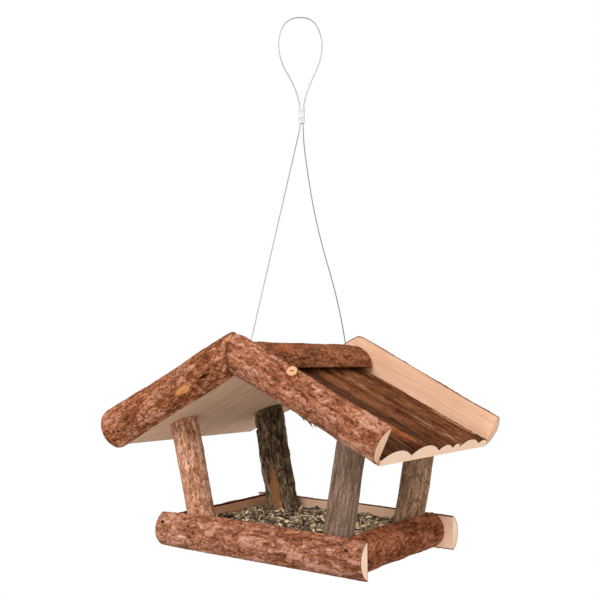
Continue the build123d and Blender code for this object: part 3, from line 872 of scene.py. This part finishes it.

# %% [markdown]
# ## Roof slabs
# The slabs are thin slices from the outside of a log: bark above, sawn wood below and along both edges.
# One wavy sheet could stand for a whole slope, but the seams and the scalloped eave are what the eye
# sees, so each slab is a piece with the width that the frame gives. The bark grid is rolled over the
# crown, its long sides are extruded down to the underside, and the two lower edges are bridged. One slab
# has an orange streak, and one shows pale wood along its edge.

# %% Bark of the slabs
# The valleys along the seams: how far they reach, how dark their painted shade is and how deep they sink
seam_shade = 8.0
painted_valley_shade = 0.95
valley_depth = 0.6
slab_dullness = 0.16
# Whole slabs made darker; on roof_slab_right_6 this is painted shade of the deep gap between it and right_5
slab_shades = {"roof_slab_right_1": -0.24, "roof_slab_right_2": -0.3, "roof_slab_right_6": -0.1}
slab_marks_and_gap_shade = {"roof_slab_right_1": [(120.0, -70.0, 20.0, 1.5, 0.5, -0.7)],
              # On right_6 the first mark is a dark slit, carved a little and painted dark as shade of that
              # gap; the second shows pale wood
              "roof_slab_right_6": [(146.0, 100.0, 36.0, 5.0, 1.2, -1.0),
                                    (140.0, 93.6, 30.0, 1.6, 0.2, 0.5)]}
orange_slab = "roof_slab_right_2"
orange_run, orange_along = 140.0, -38.0
orange_long, orange_wide = 38.0, 7.0
orange_hue, orange_warmth = 1.5, 1.4
orange_tone = 0.6
pale_edge_slab = "roof_slab_right_5"
pale_edge, pale_edge_wave, pale_edge_step = 3.4, 2.6, 14.0
pale_edge_bare = 0.42


def slab_relief(name, start, end, shift):
    """A slab's bark, sunk a little and darkened with painted shade in the valleys at both sides"""
    own = with_marks(streaky_bark, slab_marks_and_gap_shade.get(name, []), shift, 1)

    def relief(run, along, rise):
        height, tone, crack, bare, hue = own(run, along, rise)
        valley = max(0.0, 1 - min(along - start, end - along) / seam_shade) ** 1.5
        # painted shade: the bark goes dark towards both seams, where the slabs meet
        crack = max(crack, painted_valley_shade * valley)
        strip = pale_edge + pale_edge_wave * noise.noise(Vector((run / pale_edge_step, 0, 0)))
        if name == pale_edge_slab and along - start < strip:
            bare, crack = pale_edge_bare, 0.0
        shade = slab_shades.get(name, 0.0)
        tone += shade
        hue += shade - slab_dullness
        if name == orange_slab:
            glow = math.hypot((run - orange_run) / orange_long, (along - orange_along) / orange_wide)
            hue = max(hue, orange_hue - glow)
            tone += (orange_tone - tone) * clamped(orange_warmth - glow)
        return height - valley_depth * valley, tone, crack, bare, hue
    return relief


print("slabs with a shade of their own:", len(slab_shades))

# %% Sections and sides of the slabs
slab_edge = 6.5
slab_bulge = 1.06
slab_pith = -14.0
ridge_crown = 9.5
eave_crowns = {"right": (13.5, 14.0, 11.0, 10.5, 12.5, 9.5), "left": (12.5, 10.5, 13.5, 12.0, 10.0, 14.0)}
seam_closing = 0.14
cap_seat = 0.8
cap_base = apex + slab_edge * slope_run + cap_seat
slope_length = eave_half_width / slope_run


def slab_section(start, end, eave_crown):
    """The section of a slab: its crown grows from the ridge to the eave"""
    half = (end - start) / 2
    middle = (start + end) / 2

    def section(share, turn):
        crown = ridge_crown + (eave_crown - ridge_crown) * share
        swell = crown - slab_edge
        radius = (half * half + swell * swell) / (2 * swell)
        if turn < 0:
            return start, slab_edge - bark_rim, 0.0, 0.0
        if turn > 1:
            return end, slab_edge - bark_rim, 0.0, 0.0
        angle = math.asin(min(1.0, half / radius)) * (2 * turn - 1)
        aside, up = math.sin(angle), math.cos(angle)
        return middle + radius * aside, crown - radius + radius * up, aside, up
    return section


def close_slab(bm, local, sides, place, pith):
    """Sawn edges, underside and ends of a slab"""
    lower = []
    for side in sides:
        made = bmesh.ops.extrude_edge_only(bm, edges=edge_chain(bm, side))["geom"]
        fresh = [part for part in made if isinstance(part, bmesh.types.BMVert)]
        above = set(side)
        for vert in fresh:
            neighbours = [edge.other_vert(vert) for edge in vert.link_edges]
            run, along, _ = local[next(other for other in neighbours if other in above)]
            local[vert] = (run, along, 0.0)
            vert.co = place(run, along, 0.0) * MM
        walls = [part for part in made if isinstance(part, bmesh.types.BMFace)]
        lay_grain(bm, local, walls, flat_part, (0, 0))
        lower.append(fresh)
    close_log(bm, local, lower, pith)


print("slope length, mm:", round(slope_length, 1))

# %% Roof slabs
def make_slab(name, side, crown, shift):
    """One slab, as wide as its CAD box"""
    low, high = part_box(name)
    start, end = low[1] / MM - seam_closing, high[1] / MM + seam_closing

    def place(run, along, rise):
        spot = on_slope(side, run, rise, along)
        return Vector((spot.x, spot.y, min(spot.z, cap_base - joint_gap)))

    def span(along, rise):
        return seam_gap / 2 / slope_run, slope_length

    section = slab_section(start, end, crown)
    relief = slab_relief(name, start, end, shift)
    around = (end - start) * slab_bulge
    bm, local, sides = roll_log(slope_length, around, section, span, place, relief, shift)
    close_slab(bm, local, sides, place, ((start + end) / 2, slab_pith))
    finishes = [barks["slab_bark"], sawn["sawn_under"], sawn["sawn_end"]]
    make_piece(bm, name + "_bark", "house", "roof_bark", finishes, name)


slab_number = log_numbers["slabs"]
for side_name, side in (("right", 1), ("left", -1)):
    for index, crown in enumerate(eave_crowns[side_name], 1):
        make_slab(f"roof_slab_{side_name}_{index}", side, crown, log_spacing * slab_number)
        slab_number += 1
print("slabs made:", slab_number - log_numbers["slabs"])

# %% [markdown]
# ## Ridge cap
# The cap is a half log laid over the ridge with its flat down. It is rolled as the rails are, and its
# ends are rounded over a little, as bark breaks away there. The wire goes into it near both ends. Holes
# could be cut for it, but the wire is thin and fills them, so none would show.

# %% Sizes of the cap
cap_width = 48.0
cap_height = 25.5
cap_girth = 76.0
cap_skirt = 0.8
cap_pith = -6.0
cap_girths = (0.97, 1.0, 1.03, 0.99, 1.02, 1.0, 0.96)
cap_crowns = (0.97, 0.995, 0.98, 1.0, 0.975, 0.99, 0.95)
cap_shoulder = 7.0
shoulder_narrow, shoulder_fall = 0.05, 0.1
cap_patches = [(-60.0, 15.0, 11.0, 4.0, 0.3, 0.55), (-14.0, 12.0, 9.0, 4.0, 0.3, 0.5),
               (48.0, 14.0, 10.0, 5.0, 0.3, 0.5)]
cap_low, cap_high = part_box("ridge_cap")
cap_start, cap_end = cap_low[1] / MM, cap_high[1] / MM
print("ridge cap from", round(cap_start, 1), "to", round(cap_end, 1))

# %% Ridge cap
def cap_sizes(share):
    """The cap's two edges and its height, a little less at its broken shoulders"""
    from_end = min(share, 1 - share) * (cap_end - cap_start)
    shoulder = max(0.0, 1 - from_end / cap_shoulder) ** 2
    half = cap_width / 2 * share_at(cap_girths, share) * (1 - shoulder_narrow * shoulder)
    return -half, half, cap_height * share_at(cap_crowns, share) * (1 - shoulder_fall * shoulder)


def cap_place(run, up, aside):
    """Where the cap's length, height and width lie in the frame"""
    return Vector((aside, run, cap_base + up))


def cap_span(up, aside):
    """Both ends of the cap"""
    return cap_start, cap_end


shift = log_spacing * log_numbers["cap"]
relief = with_marks(flaky_bark, cap_patches, shift)
section = half_round(cap_sizes, cap_skirt)
bm, local, sides = roll_log(cap_end - cap_start, cap_girth, section, cap_span, cap_place, relief, shift)
close_log(bm, local, sides, (cap_pith, 0.0))
finishes = [barks["cap_bark"], sawn["sawn_face"], sawn["sawn_end"]]
make_piece(bm, "ridge_cap_log", "house", "roof_bark", finishes, "ridge_cap")
print("ridge cap made, with pale patches:", len(cap_patches))

# %% [markdown]
# ## Posts
# The posts are whole branches, each from another tree: flaky and pale in front on the left, smooth and
# grey in front on the right, dark and furrowed behind on the left, brown behind on the right. A cylinder
# could be leaned over and cut twice. Here a grid is wrapped right round the axis and its seam merged,
# and every line along the branch runs from the floor to the roof slope, so both ends come out sawn to
# their planes with the bark still on the grid.

# %% Barks of the posts
post_looks = {
    "post_flaky_bark": ([(0.11, 0.038, 0.016), (0.42, 0.176, 0.090), (0.77, 0.36, 0.204),
                         (1.0, 0.68, 0.50), (0.87, 0.50, 0.34), pale_wood], (70.0, 190.0), 0.7, 1.0),
    "post_smooth_bark": ([(0.058, 0.034, 0.021), (0.155, 0.093, 0.061), (0.255, 0.163, 0.113),
                          (0.47, 0.335, 0.26), (0.275, 0.186, 0.137), pale_wood],
                         (22.0, 270.0), 0.65, 1.3),
    "post_dark_bark": ([(0.014, 0.010, 0.005), (0.090, 0.061, 0.033), (0.225, 0.157, 0.092),
                        (0.60, 0.46, 0.30), (0.255, 0.200, 0.122), (0.46, 0.18, 0.055)],
                       (45.0, 150.0), 0.9, 1.7),
    "post_brown_bark": ([(0.060, 0.030, 0.014), (0.215, 0.118, 0.062), (0.42, 0.245, 0.140),
                         (0.72, 0.48, 0.32), (0.40, 0.26, 0.172), pale_wood], (40.0, 200.0), 0.8, 1.2),
}
post_barks = {name: bark_finish(name, *look) for name, look in post_looks.items()}
print("post finishes:", *post_barks)

# %% Sizes of the posts
floor_thickness = 8.0
post_rail_gap = 1.0
post_length = 130.0
post_sink = 0.3
# Each post: its gap to the side rail, its splay in degrees, its girth at the foot and at the head, its bow,
# its bark's relief and how strong that is, its finish and its marks
posts = {
    "front_left": (12.8, 15.2, 28.0, 31.5, 1.0, flaky_bark, 0.6, "post_flaky_bark", []),
    "front_right": (5.0, 10.0, 30.0, 28.2, -0.8, smooth_bark, 1.0, "post_smooth_bark", []),
    "back_left": (19.7, 12.2, 37.0, 34.0, -1.5, fissured_bark, 1.5, "post_dark_bark",
                  [(40.0, 5.0, 30.0, 5.0, 0.7, 0.75)]),
    "back_right": (1.2, 10.8, 32.0, 31.0, 1.2, smooth_bark, 1.0, "post_brown_bark", []),
}


def post_foot(name):
    """The middle of a post's foot, worked out from its gaps to the rails"""
    side_gap, splay, foot_girth = posts[name][:3]
    lean = math.tan(math.radians(splay)) * (rail_height - floor_thickness)
    foot_x = tray_half_width - side_gap - foot_girth / 2 - lean
    foot_y = tray_half_depth - post_rail_gap - foot_girth / 2
    return Vector((foot_x if name.endswith("right") else -foot_x,
                   -foot_y if name.startswith("front") else foot_y, floor_thickness))


print("feet of the posts:", *[(name, round(post_foot(name).x, 1)) for name in posts])

# %% Posts
def make_post(name, shift):
    """One post, round its leaning and slightly bowed axis"""
    splay, foot_girth, head_girth, bow, bark, strength, finish, marks = posts[name][1:]
    foot = post_foot(name)
    right = 1 if foot.x > 0 else -1
    axis = Vector((right * math.tan(math.radians(splay)), 0, 1)).normalized()
    level = Vector((0, 1, 0))
    aside = level.cross(axis)
    roof = Vector((right * slope_rise, 0, slope_run))
    roof_point = Vector((0, 0, apex - joint_gap / slope_run))

    def place(run, first, second):
        return foot + axis * run + aside * first + level * second

    def section(share, turn):
        grown = (share * post_length + overcut) / (post_length + 2 * overcut)
        radius = (foot_girth + (head_girth - foot_girth) * grown) / 2
        angle = 2 * math.pi * turn
        out, side = math.cos(angle), math.sin(angle)
        bend = bow * (1 - (2 * share - 1) ** 2)
        return radius * out, radius * side + bend, out, side

    def span(first, second):
        beside = aside * first + level * second
        start = (joint_gap - beside.z) / axis.z
        end = roof.dot(roof_point - foot - beside) / roof.dot(axis)
        return start, end

    front_side = with_marks(bark, marks, shift, 1)
    back_side = with_marks(bark, [], shift)

    def relief(run, first, second):
        own = front_side if second < 0 else back_side
        height, *values = own(run, first, second)
        return (height * strength - post_sink, *values)

    around = math.pi * foot_girth
    bm, local, _ = roll_log(post_length, around, section, span, place, relief, shift, closed=True)
    close_log(bm, local, None, (0.0, 0.0))
    finishes = [post_barks[finish], sawn["sawn_face"], sawn["sawn_end"]]
    make_piece(bm, f"post_{name}_log", "house", "post_bark", finishes, f"post_{name}")


for number, name in enumerate(posts, log_numbers["posts"]):
    make_post(name, log_spacing * number)
print("posts made:", len(posts))

# %% [markdown]
# ## Branch stub
# A branch was sawn off on the front right gable, and its pale end with the pith still shows in the bark.
# It could be painted on the log, but it stands out a little and catches the light. So it is a short cone
# with two insets on its end, and bark, wood and pith are real rings of faces.

# %% Place of the stub
stub_run = 64.5
stub_rise = 0.42
stub_radius, stub_flare = 6.1, 2.4
stub_height, stub_root = 1.9, 5.0
stub_sides = 40
stub_oval = (0.93, 1.16, 1.0)
stub_rim, stub_sink = 0.9, 0.35
pith_inset, pith_rise = 3.4, 0.25
pith_shape = (1.25, 0.4, 1.0)
pith_crack = 0.8
facing_up = 0.9
wood_part, pith_part = 1, 2
board_radius = (board_height ** 2 / 4 + board_depth ** 2) / (2 * board_depth)
stub_lean = stub_rise * board_height / board_radius
stub_axis = on_slope(1, 0, stub_lean, 0) - on_slope(1, 0, 0, 0)
stub_axis.y = -math.sqrt(1 - stub_lean ** 2)
stub_centre = on_slope(1, stub_run, board_height / 2, -(gable + joint_gap + board_depth - board_radius))
stub_place = stub_centre + stub_axis * board_radius
print("stub at", [round(part, 1) for part in stub_place])

# %% Branch stub
bm = bmesh.new()
layers = {name: bm.verts.layers.float.new(name) for name in bark_values}
sheet = bm.loops.layers.uv.new("grain")
bmesh.ops.create_cone(bm, cap_ends=True, segments=stub_sides, radius1=(stub_radius + stub_flare) * MM,
                      radius2=stub_radius * MM, depth=(stub_root + stub_height) * MM)
top = max(bm.faces, key=lambda face: face.calc_center_median().z)
bmesh.ops.inset_region(bm, faces=[top], thickness=stub_rim * MM, depth=-stub_sink * MM)
top.material_index = wood_part
bmesh.ops.inset_region(bm, faces=[top], thickness=pith_inset * MM, depth=pith_rise * MM)
top.material_index = pith_part
bmesh.ops.scale(bm, vec=pith_shape, verts=top.verts)
bmesh.ops.scale(bm, vec=stub_oval, verts=bm.verts)
for face in bm.faces:
    for loop in face.loops:
        loop[sheet].uv = (loop.vert.co.x, loop.vert.co.y)
    if face.material_index == 0 and face.normal.z > facing_up and len(face.verts) == 4:
        centre = face.calc_center_median()
        face.material_index = wood_part if centre.xy.length < (stub_radius - stub_rim) * MM else 0
for vert in bm.verts:
    vert[layers["tone"]] = 0.5 + 0.2 * noise.noise(vert.co * 900)
for vert in top.verts:
    vert[layers["crack"]] = pith_crack
bmesh.ops.translate(bm, verts=bm.verts, vec=(0, 0, (stub_height - stub_root) / 2 * MM))
turn = stub_axis.to_track_quat("Z", "Y").to_matrix().to_4x4()
bmesh.ops.transform(bm, matrix=turn, verts=bm.verts)
bmesh.ops.translate(bm, verts=bm.verts, vec=stub_place * MM)
finishes = [barks["gable_bark"], sawn["stub_wood"], barks["gable_bark"]]
make_piece(bm, "branch_stub", "house", "flaky_bark", finishes)
print("stub made, with sides:", stub_sides)

# %% [markdown]
# ## Bark splinters
# A few splinters of torn bark hang under the front right board. Hair could make them, but so few are as
# easily placed one by one: each is a thin pointed cone with its root in the log.

# %% Bark splinters
splinter_count = 9
splinter_runs = (86.0, 106.0)
splinter_lengths = (5.0, 9.0)
splinter_radii = (0.5, 0.9)
splinter_depths = (1.0, 4.0)
splinter_rise = 1.2
splinter_sides = 5
splinter_point = 0.15
splinter_hang = 0.25
splinter_tone, splinter_crack = 0.45, 0.35
splinter_draw = random.Random(3)
bm = bmesh.new()
layers = {name: bm.verts.layers.float.new(name) for name in bark_values}
bm.loops.layers.uv.new("grain")
for _ in range(splinter_count):
    run = splinter_draw.uniform(*splinter_runs)
    length = splinter_draw.uniform(*splinter_lengths) * MM
    radius = splinter_draw.uniform(*splinter_radii) * MM
    root = on_slope(1, run, splinter_rise, -gable - splinter_draw.uniform(*splinter_depths)) * MM
    way = Vector((splinter_draw.uniform(0.3, 1.0), splinter_draw.uniform(-0.5, 0.1), -1.0)).normalized()
    made = bmesh.ops.create_cone(bm, cap_ends=True, segments=splinter_sides, radius1=radius,
                                 radius2=radius * splinter_point, depth=length, calc_uvs=True)["verts"]
    for vert in made:
        vert[layers["tone"]] = splinter_tone
        vert[layers["crack"]] = splinter_crack
    bmesh.ops.transform(bm, matrix=way.to_track_quat("Z", "Y").to_matrix().to_4x4(), verts=made)
    bmesh.ops.translate(bm, verts=made, vec=root + way * length * splinter_hang)
make_piece(bm, "bark_splinters", "house", "flaky_bark", [barks["gable_bark"]])
print("splinters made:", splinter_count)

# %% [markdown]
# ## Sunflower seeds
# Loose seeds fill the tray. A simulation could drop them in, but it might not end the same way in every
# run. So one bumpy bed closes the bottom, dark as painted shade between the seeds, and about two thousand
# small drop-shaped seeds lie on it, each turned and tinted by a seeded random number. Their stripes follow
# a UV map that runs round each seed.

# %% Seed finishes
def seed_finish(name):
    """Dark husks with pale stripes, more or fewer of them from seed to seed"""
    material, tree, surface = new_finish(name)
    tone = mesh_value(tree, "tone")
    inputs = {"Vector": grain_place(tree), "Scale": 0.75, "Distortion": 1.0, "Detail": 1.0}
    wave = add(tree, "ShaderNodeTexWave", inputs, bands_direction="X").outputs["Fac"]
    paler = number_range(tree, tone, -0.6, 0.35)
    stripes = sharpened(tree, sums(tree, "ADD", wave, paler), 0.35, 0.65)
    other = add(tree, "ShaderNodeMath", {0: times(tree, tone, 7.3)}, operation="FRACT").outputs[0]
    fine = speckle(tree, object_place(tree), 900.0, 3.0)
    husk = ramp(tree, other, [(0.0, colour(0.010, 0.007, 0.005)), (0.6, colour(0.035, 0.023, 0.013)),
                              (1.0, colour(0.16, 0.095, 0.045))])
    stripe = ramp(tree, other, [(0.0, colour(0.28, 0.16, 0.07)), (0.4, colour(0.74, 0.52, 0.29)),
                                (1.0, colour(1.0, 0.86, 0.60))])
    shade = mix(tree, stripes, husk, stripe)
    shade = mix(tree, number_range(tree, fine, -0.05, 0.15), shade, husk)
    finish_surface(tree, surface, shade, number_range(tree, fine, 0.5, 0.75), stripes, 0.25, 0.0003)
    return material


def seed_shade_finish(name):
    """Painted shade between the seeds: a dark sheet under them"""
    material, tree, surface = new_finish(name)
    cloud = speckle(tree, object_place(tree), 260.0, 5.0, 0.7)
    shade = ramp(tree, cloud, [(0.3, colour(0.012, 0.009, 0.006)), (0.7, colour(0.10, 0.075, 0.05))])
    finish_surface(tree, surface, shade, number_range(tree, cloud, 0.8, 1.0), cloud, 0.8, 0.002)
    return material


striped_seed = seed_finish("striped_seed")
painted_seed_shade = seed_shade_finish("painted_seed_shade")
print("seed finishes:", striped_seed.name, painted_seed_shade.name)

# %% Seed bed
seed_level = 25.0
seed_mound = 4.0
seed_slump, slump_start, slump_reach = 3.0, 55.0, 60.0
hollow_depth, hollow_size = 1.4, 26.0
bump_depth, bump_size = 1.2, 6.0
bed_columns, bed_rows = 74, 54
bed_sink = 4.5
bed_tone = 0.2
wall_gap = 0.4
bed_half_x = tray_half_width - wall_gap
bed_half_y = tray_half_depth - wall_gap
mound_corner = math.hypot(bed_half_x, bed_half_y)
mound_radius = (mound_corner ** 2 + seed_mound ** 2) / (2 * seed_mound)


def heap_level(x, y):
    """The heap's surface, a flat dome that slumps on the left, with shallow hollows"""
    dome = seed_level - mound_radius + math.sqrt(mound_radius ** 2 - x * x - y * y)
    slump = seed_slump * clamped((-x - slump_start) / slump_reach)
    return dome - slump + hollow_depth * noise.noise(Vector((x, y, 0)) / hollow_size)


bm = bmesh.new()
tone_layer = bm.verts.layers.float.new("tone")
bmesh.ops.create_grid(bm, x_segments=bed_columns, y_segments=bed_rows, size=1.0)
for vert in bm.verts:
    x, y = vert.co.x * bed_half_x, vert.co.y * bed_half_y
    level = heap_level(x, y) - bed_sink + bump_depth * noise.noise(Vector((x, y, 0)) / bump_size)
    vert.co = Vector((x, y, level)) * MM
    vert[tone_layer] = bed_tone
rim = [edge for edge in bm.edges if edge.is_boundary]
skirt = bmesh.ops.extrude_edge_only(bm, edges=rim)["geom"]
for vert in [part for part in skirt if isinstance(part, bmesh.types.BMVert)]:
    vert.co.z = (floor_thickness + wall_gap) * MM
bmesh.ops.holes_fill(bm, edges=[edge for edge in bm.edges if edge.is_boundary], sides=0)
bmesh.ops.recalc_face_normals(bm, faces=bm.faces)
# The bed is dark with painted shade, which shows between the seeds
make_piece(bm, "seed_bed", "house", "sunflower_seed", [painted_seed_shade], "seed_fill")
print("seed bed, mm:", round(2 * bed_half_x, 1), "by", round(2 * bed_half_y, 1))

# %% Places and turns of the seeds
seed_count = 2000
seed_margin = 5.0
seed_lifts = (-2.0, 3.2)
seed_lengths, seed_widths, seed_thicknesses = (10.5, 13.5), (4.8, 6.2), (2.6, 3.6)
seed_tilt, seed_roll = 0.45, 0.9
seed_taper = 0.55
seed_stops = [(post_foot(name).xy, sizes[2] / 2 + seed_margin) for name, sizes in posts.items()]
draw = random.Random(7)


def seed_turn():
    """The directions of one lying seed: along it, across its flat side and out of it"""
    heading = draw.uniform(0, 2 * math.pi)
    tilt, roll = draw.gauss(0, seed_tilt), draw.gauss(0, seed_roll)
    level_way = Vector((-math.sin(heading), math.cos(heading), 0))
    reach = math.cos(tilt)
    forward = Vector((math.cos(heading) * reach, math.sin(heading) * reach, math.sin(tilt)))
    aside = level_way * math.cos(roll) + forward.cross(level_way) * math.sin(roll)
    return forward, aside, forward.cross(aside)


def seed_spot():
    """A place in the tray, clear of the rails and the posts"""
    while True:
        x = draw.uniform(seed_margin - bed_half_x, bed_half_x - seed_margin)
        y = draw.uniform(seed_margin - bed_half_y, bed_half_y - seed_margin)
        spot = Vector((x, y))
        if all((spot - foot).length > radius for foot, radius in seed_stops):
            return x, y


print("seeds wanted:", seed_count)

# %% Scatter the seeds
bm = bmesh.new()
tone_layer = bm.verts.layers.float.new("tone")
bm.loops.layers.uv.new("grain")
bmesh.ops.create_uvsphere(bm, u_segments=8, v_segments=6, radius=0.5, calc_uvs=True)
seed_faces = len(bm.faces)
while len(bm.faces) < seed_faces * seed_count:
    bmesh.ops.duplicate(bm, geom=bm.verts[:] + bm.edges[:] + bm.faces[:])
bm.faces.ensure_lookup_table()
seed_total = len(bm.faces) // seed_faces
for number in range(seed_total):
    x, y = seed_spot()
    middle = Vector((x, y, heap_level(x, y) + draw.uniform(*seed_lifts)))
    long, wide = draw.uniform(*seed_lengths), draw.uniform(*seed_widths)
    thin = draw.uniform(*seed_thicknesses)
    forward, aside, above = seed_turn()
    tone = draw.random()
    own_faces = bm.faces[number * seed_faces:(number + 1) * seed_faces]
    for vert in {vert for face in own_faces for vert in face.verts}:
        taper = 1.0 - seed_taper * max(0.0, vert.co.z * 2) ** 1.5
        spot = forward * vert.co.z * long + (aside * vert.co.x * wide + above * vert.co.y * thin) * taper
        vert.co = (middle + spot) * MM
        vert[tone_layer] = tone
for face in bm.faces:
    face.smooth = True
make_piece(bm, "sunflower_seeds", "house", "sunflower_seed", [striped_seed])
print("seeds made:", seed_total)

# %% [markdown]
# ## Pieces that stay as they are
# The floor board and the metal pieces already have the right shape in the CAD model. They could be
# modelled again, but nothing would be gained, so they only get a finish.

# %% Finishes for CAD pieces
def board_finish(name):
    """A plain softwood board"""
    material, tree, surface = new_finish(name)
    place = object_place(tree)
    grain = speckle(tree, stretched(tree, place, (14.0, 320.0, 320.0)), 1.0, 5.0, 0.65)
    cloud = speckle(tree, place, 26.0, 3.0)
    shade = ramp(tree, grain, [(0.25, colour(0.46, 0.28, 0.16)), (0.55, colour(0.66, 0.43, 0.27)),
                               (0.8, colour(0.78, 0.55, 0.37))])
    shade = mix(tree, number_range(tree, cloud, -0.4, 0.7), shade, colour(0.82, 0.76, 0.70), "MULTIPLY")
    finish_surface(tree, surface, shade, number_range(tree, grain, 0.7, 0.9), grain, 0.4, 0.0006)
    return material


carried = {"tray_floor": board_finish("tray_board"), "wire_under_ridge": metals["wire_steel"],
           "crimp_sleeve": metals["sleeve_aluminium"], "rail_nails": metals["nail_steel"]}
for name in ("floor_brads", "post_screws", "bargeboard_brads", "roof_brads", "cap_brads"):
    carried[name] = metals["fastener_steel"]
for name, finish in carried.items():
    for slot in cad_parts[name].material_slots:
        slot.material = finish
print("CAD pieces finished:", len(carried))

# %% [markdown]
# ## Light and floor
# The photograph is a cut-out on white with soft light from the front. A picture of a room could light
# it, but plain lamps are easier to follow. One large lamp stands high in front, a weaker one fills the
# right side, and a white world does the rest, at a level at which a colour comes out about as it is
# written. The floor fades out towards its edge.

# %% World and lamps
room_level = 0.62
world = bpy.data.worlds.new("white_room")
scene.world = world
world.use_nodes = True
tree = world.node_tree
background = tree.nodes["Background"]
path = add(tree, "ShaderNodeLightPath")
seen = sums(tree, "MAXIMUM", path.outputs["Is Camera Ray"], path.outputs["Is Glossy Ray"])
seen = sums(tree, "MAXIMUM", seen, path.outputs["Is Transmission Ray"])
tree.links.new(number_range(tree, seen, room_level, 1.0), background.inputs["Strength"])
background.inputs["Color"].default_value = colour(1.0, 1.0, 1.0)


def lamp(name, place, target, size, power):
    """A square soft lamp that looks at a target"""
    data = bpy.data.lights.new(name, "AREA")
    data.shape = "SQUARE"
    data.size = size
    data.energy = power
    made = bpy.data.objects.new(name, data)
    made.location = place
    made.rotation_euler = (Vector(target) - Vector(place)).to_track_quat("-Z", "Y").to_euler()
    scene.collection.objects.link(made)


house_middle = (0, 0, 0.12)
lamp("front_lamp", (0.1, -1.6, 1.2), house_middle, 1.0, 26.0)
lamp("right_lamp", (1.6, -0.3, 0.7), house_middle, 0.9, 8.0)
scene.view_settings.view_transform = "Standard"
print("room level:", room_level)

# %% Floor
floor_drop = 0.30
floor_size = 0.78
floor_fade = 0.55
floor_sides = 96
bm = bmesh.new()
bmesh.ops.create_circle(bm, cap_ends=True, segments=floor_sides, radius=floor_size)
bmesh.ops.translate(bm, verts=bm.verts, vec=(0, 0, -floor_drop))
floor_mesh = bpy.data.meshes.new("floor")
bm.to_mesh(floor_mesh)
bm.free()
floor_paper, tree, surface = new_finish("floor_paper")
place = object_place(tree)
cloud = speckle(tree, place, 60.0, 3.0)
paper = ramp(tree, cloud, [(0.3, colour(0.86, 0.86, 0.86)), (0.7, colour(0.88, 0.88, 0.88))])
tree.links.new(paper, surface.inputs["Base Color"])
surface.inputs["Roughness"].default_value = 0.95
distance = add(tree, "ShaderNodeVectorMath", {0: place}, operation="LENGTH").outputs["Value"]
fade = sharpened(tree, distance, floor_size * floor_fade, floor_size)
clear = add(tree, "ShaderNodeBsdfTransparent").outputs["BSDF"]
faded = add(tree, "ShaderNodeMixShader", {0: fade, 1: surface.outputs["BSDF"], 2: clear})
tree.links.new(faded.outputs["Shader"], tree.nodes["Material Output"].inputs["Surface"])
floor_mesh.materials.append(floor_paper)
floor = bpy.data.objects.new("floor", floor_mesh)
scene.collection.objects.link(floor)
print("floor radius, m:", floor_size)
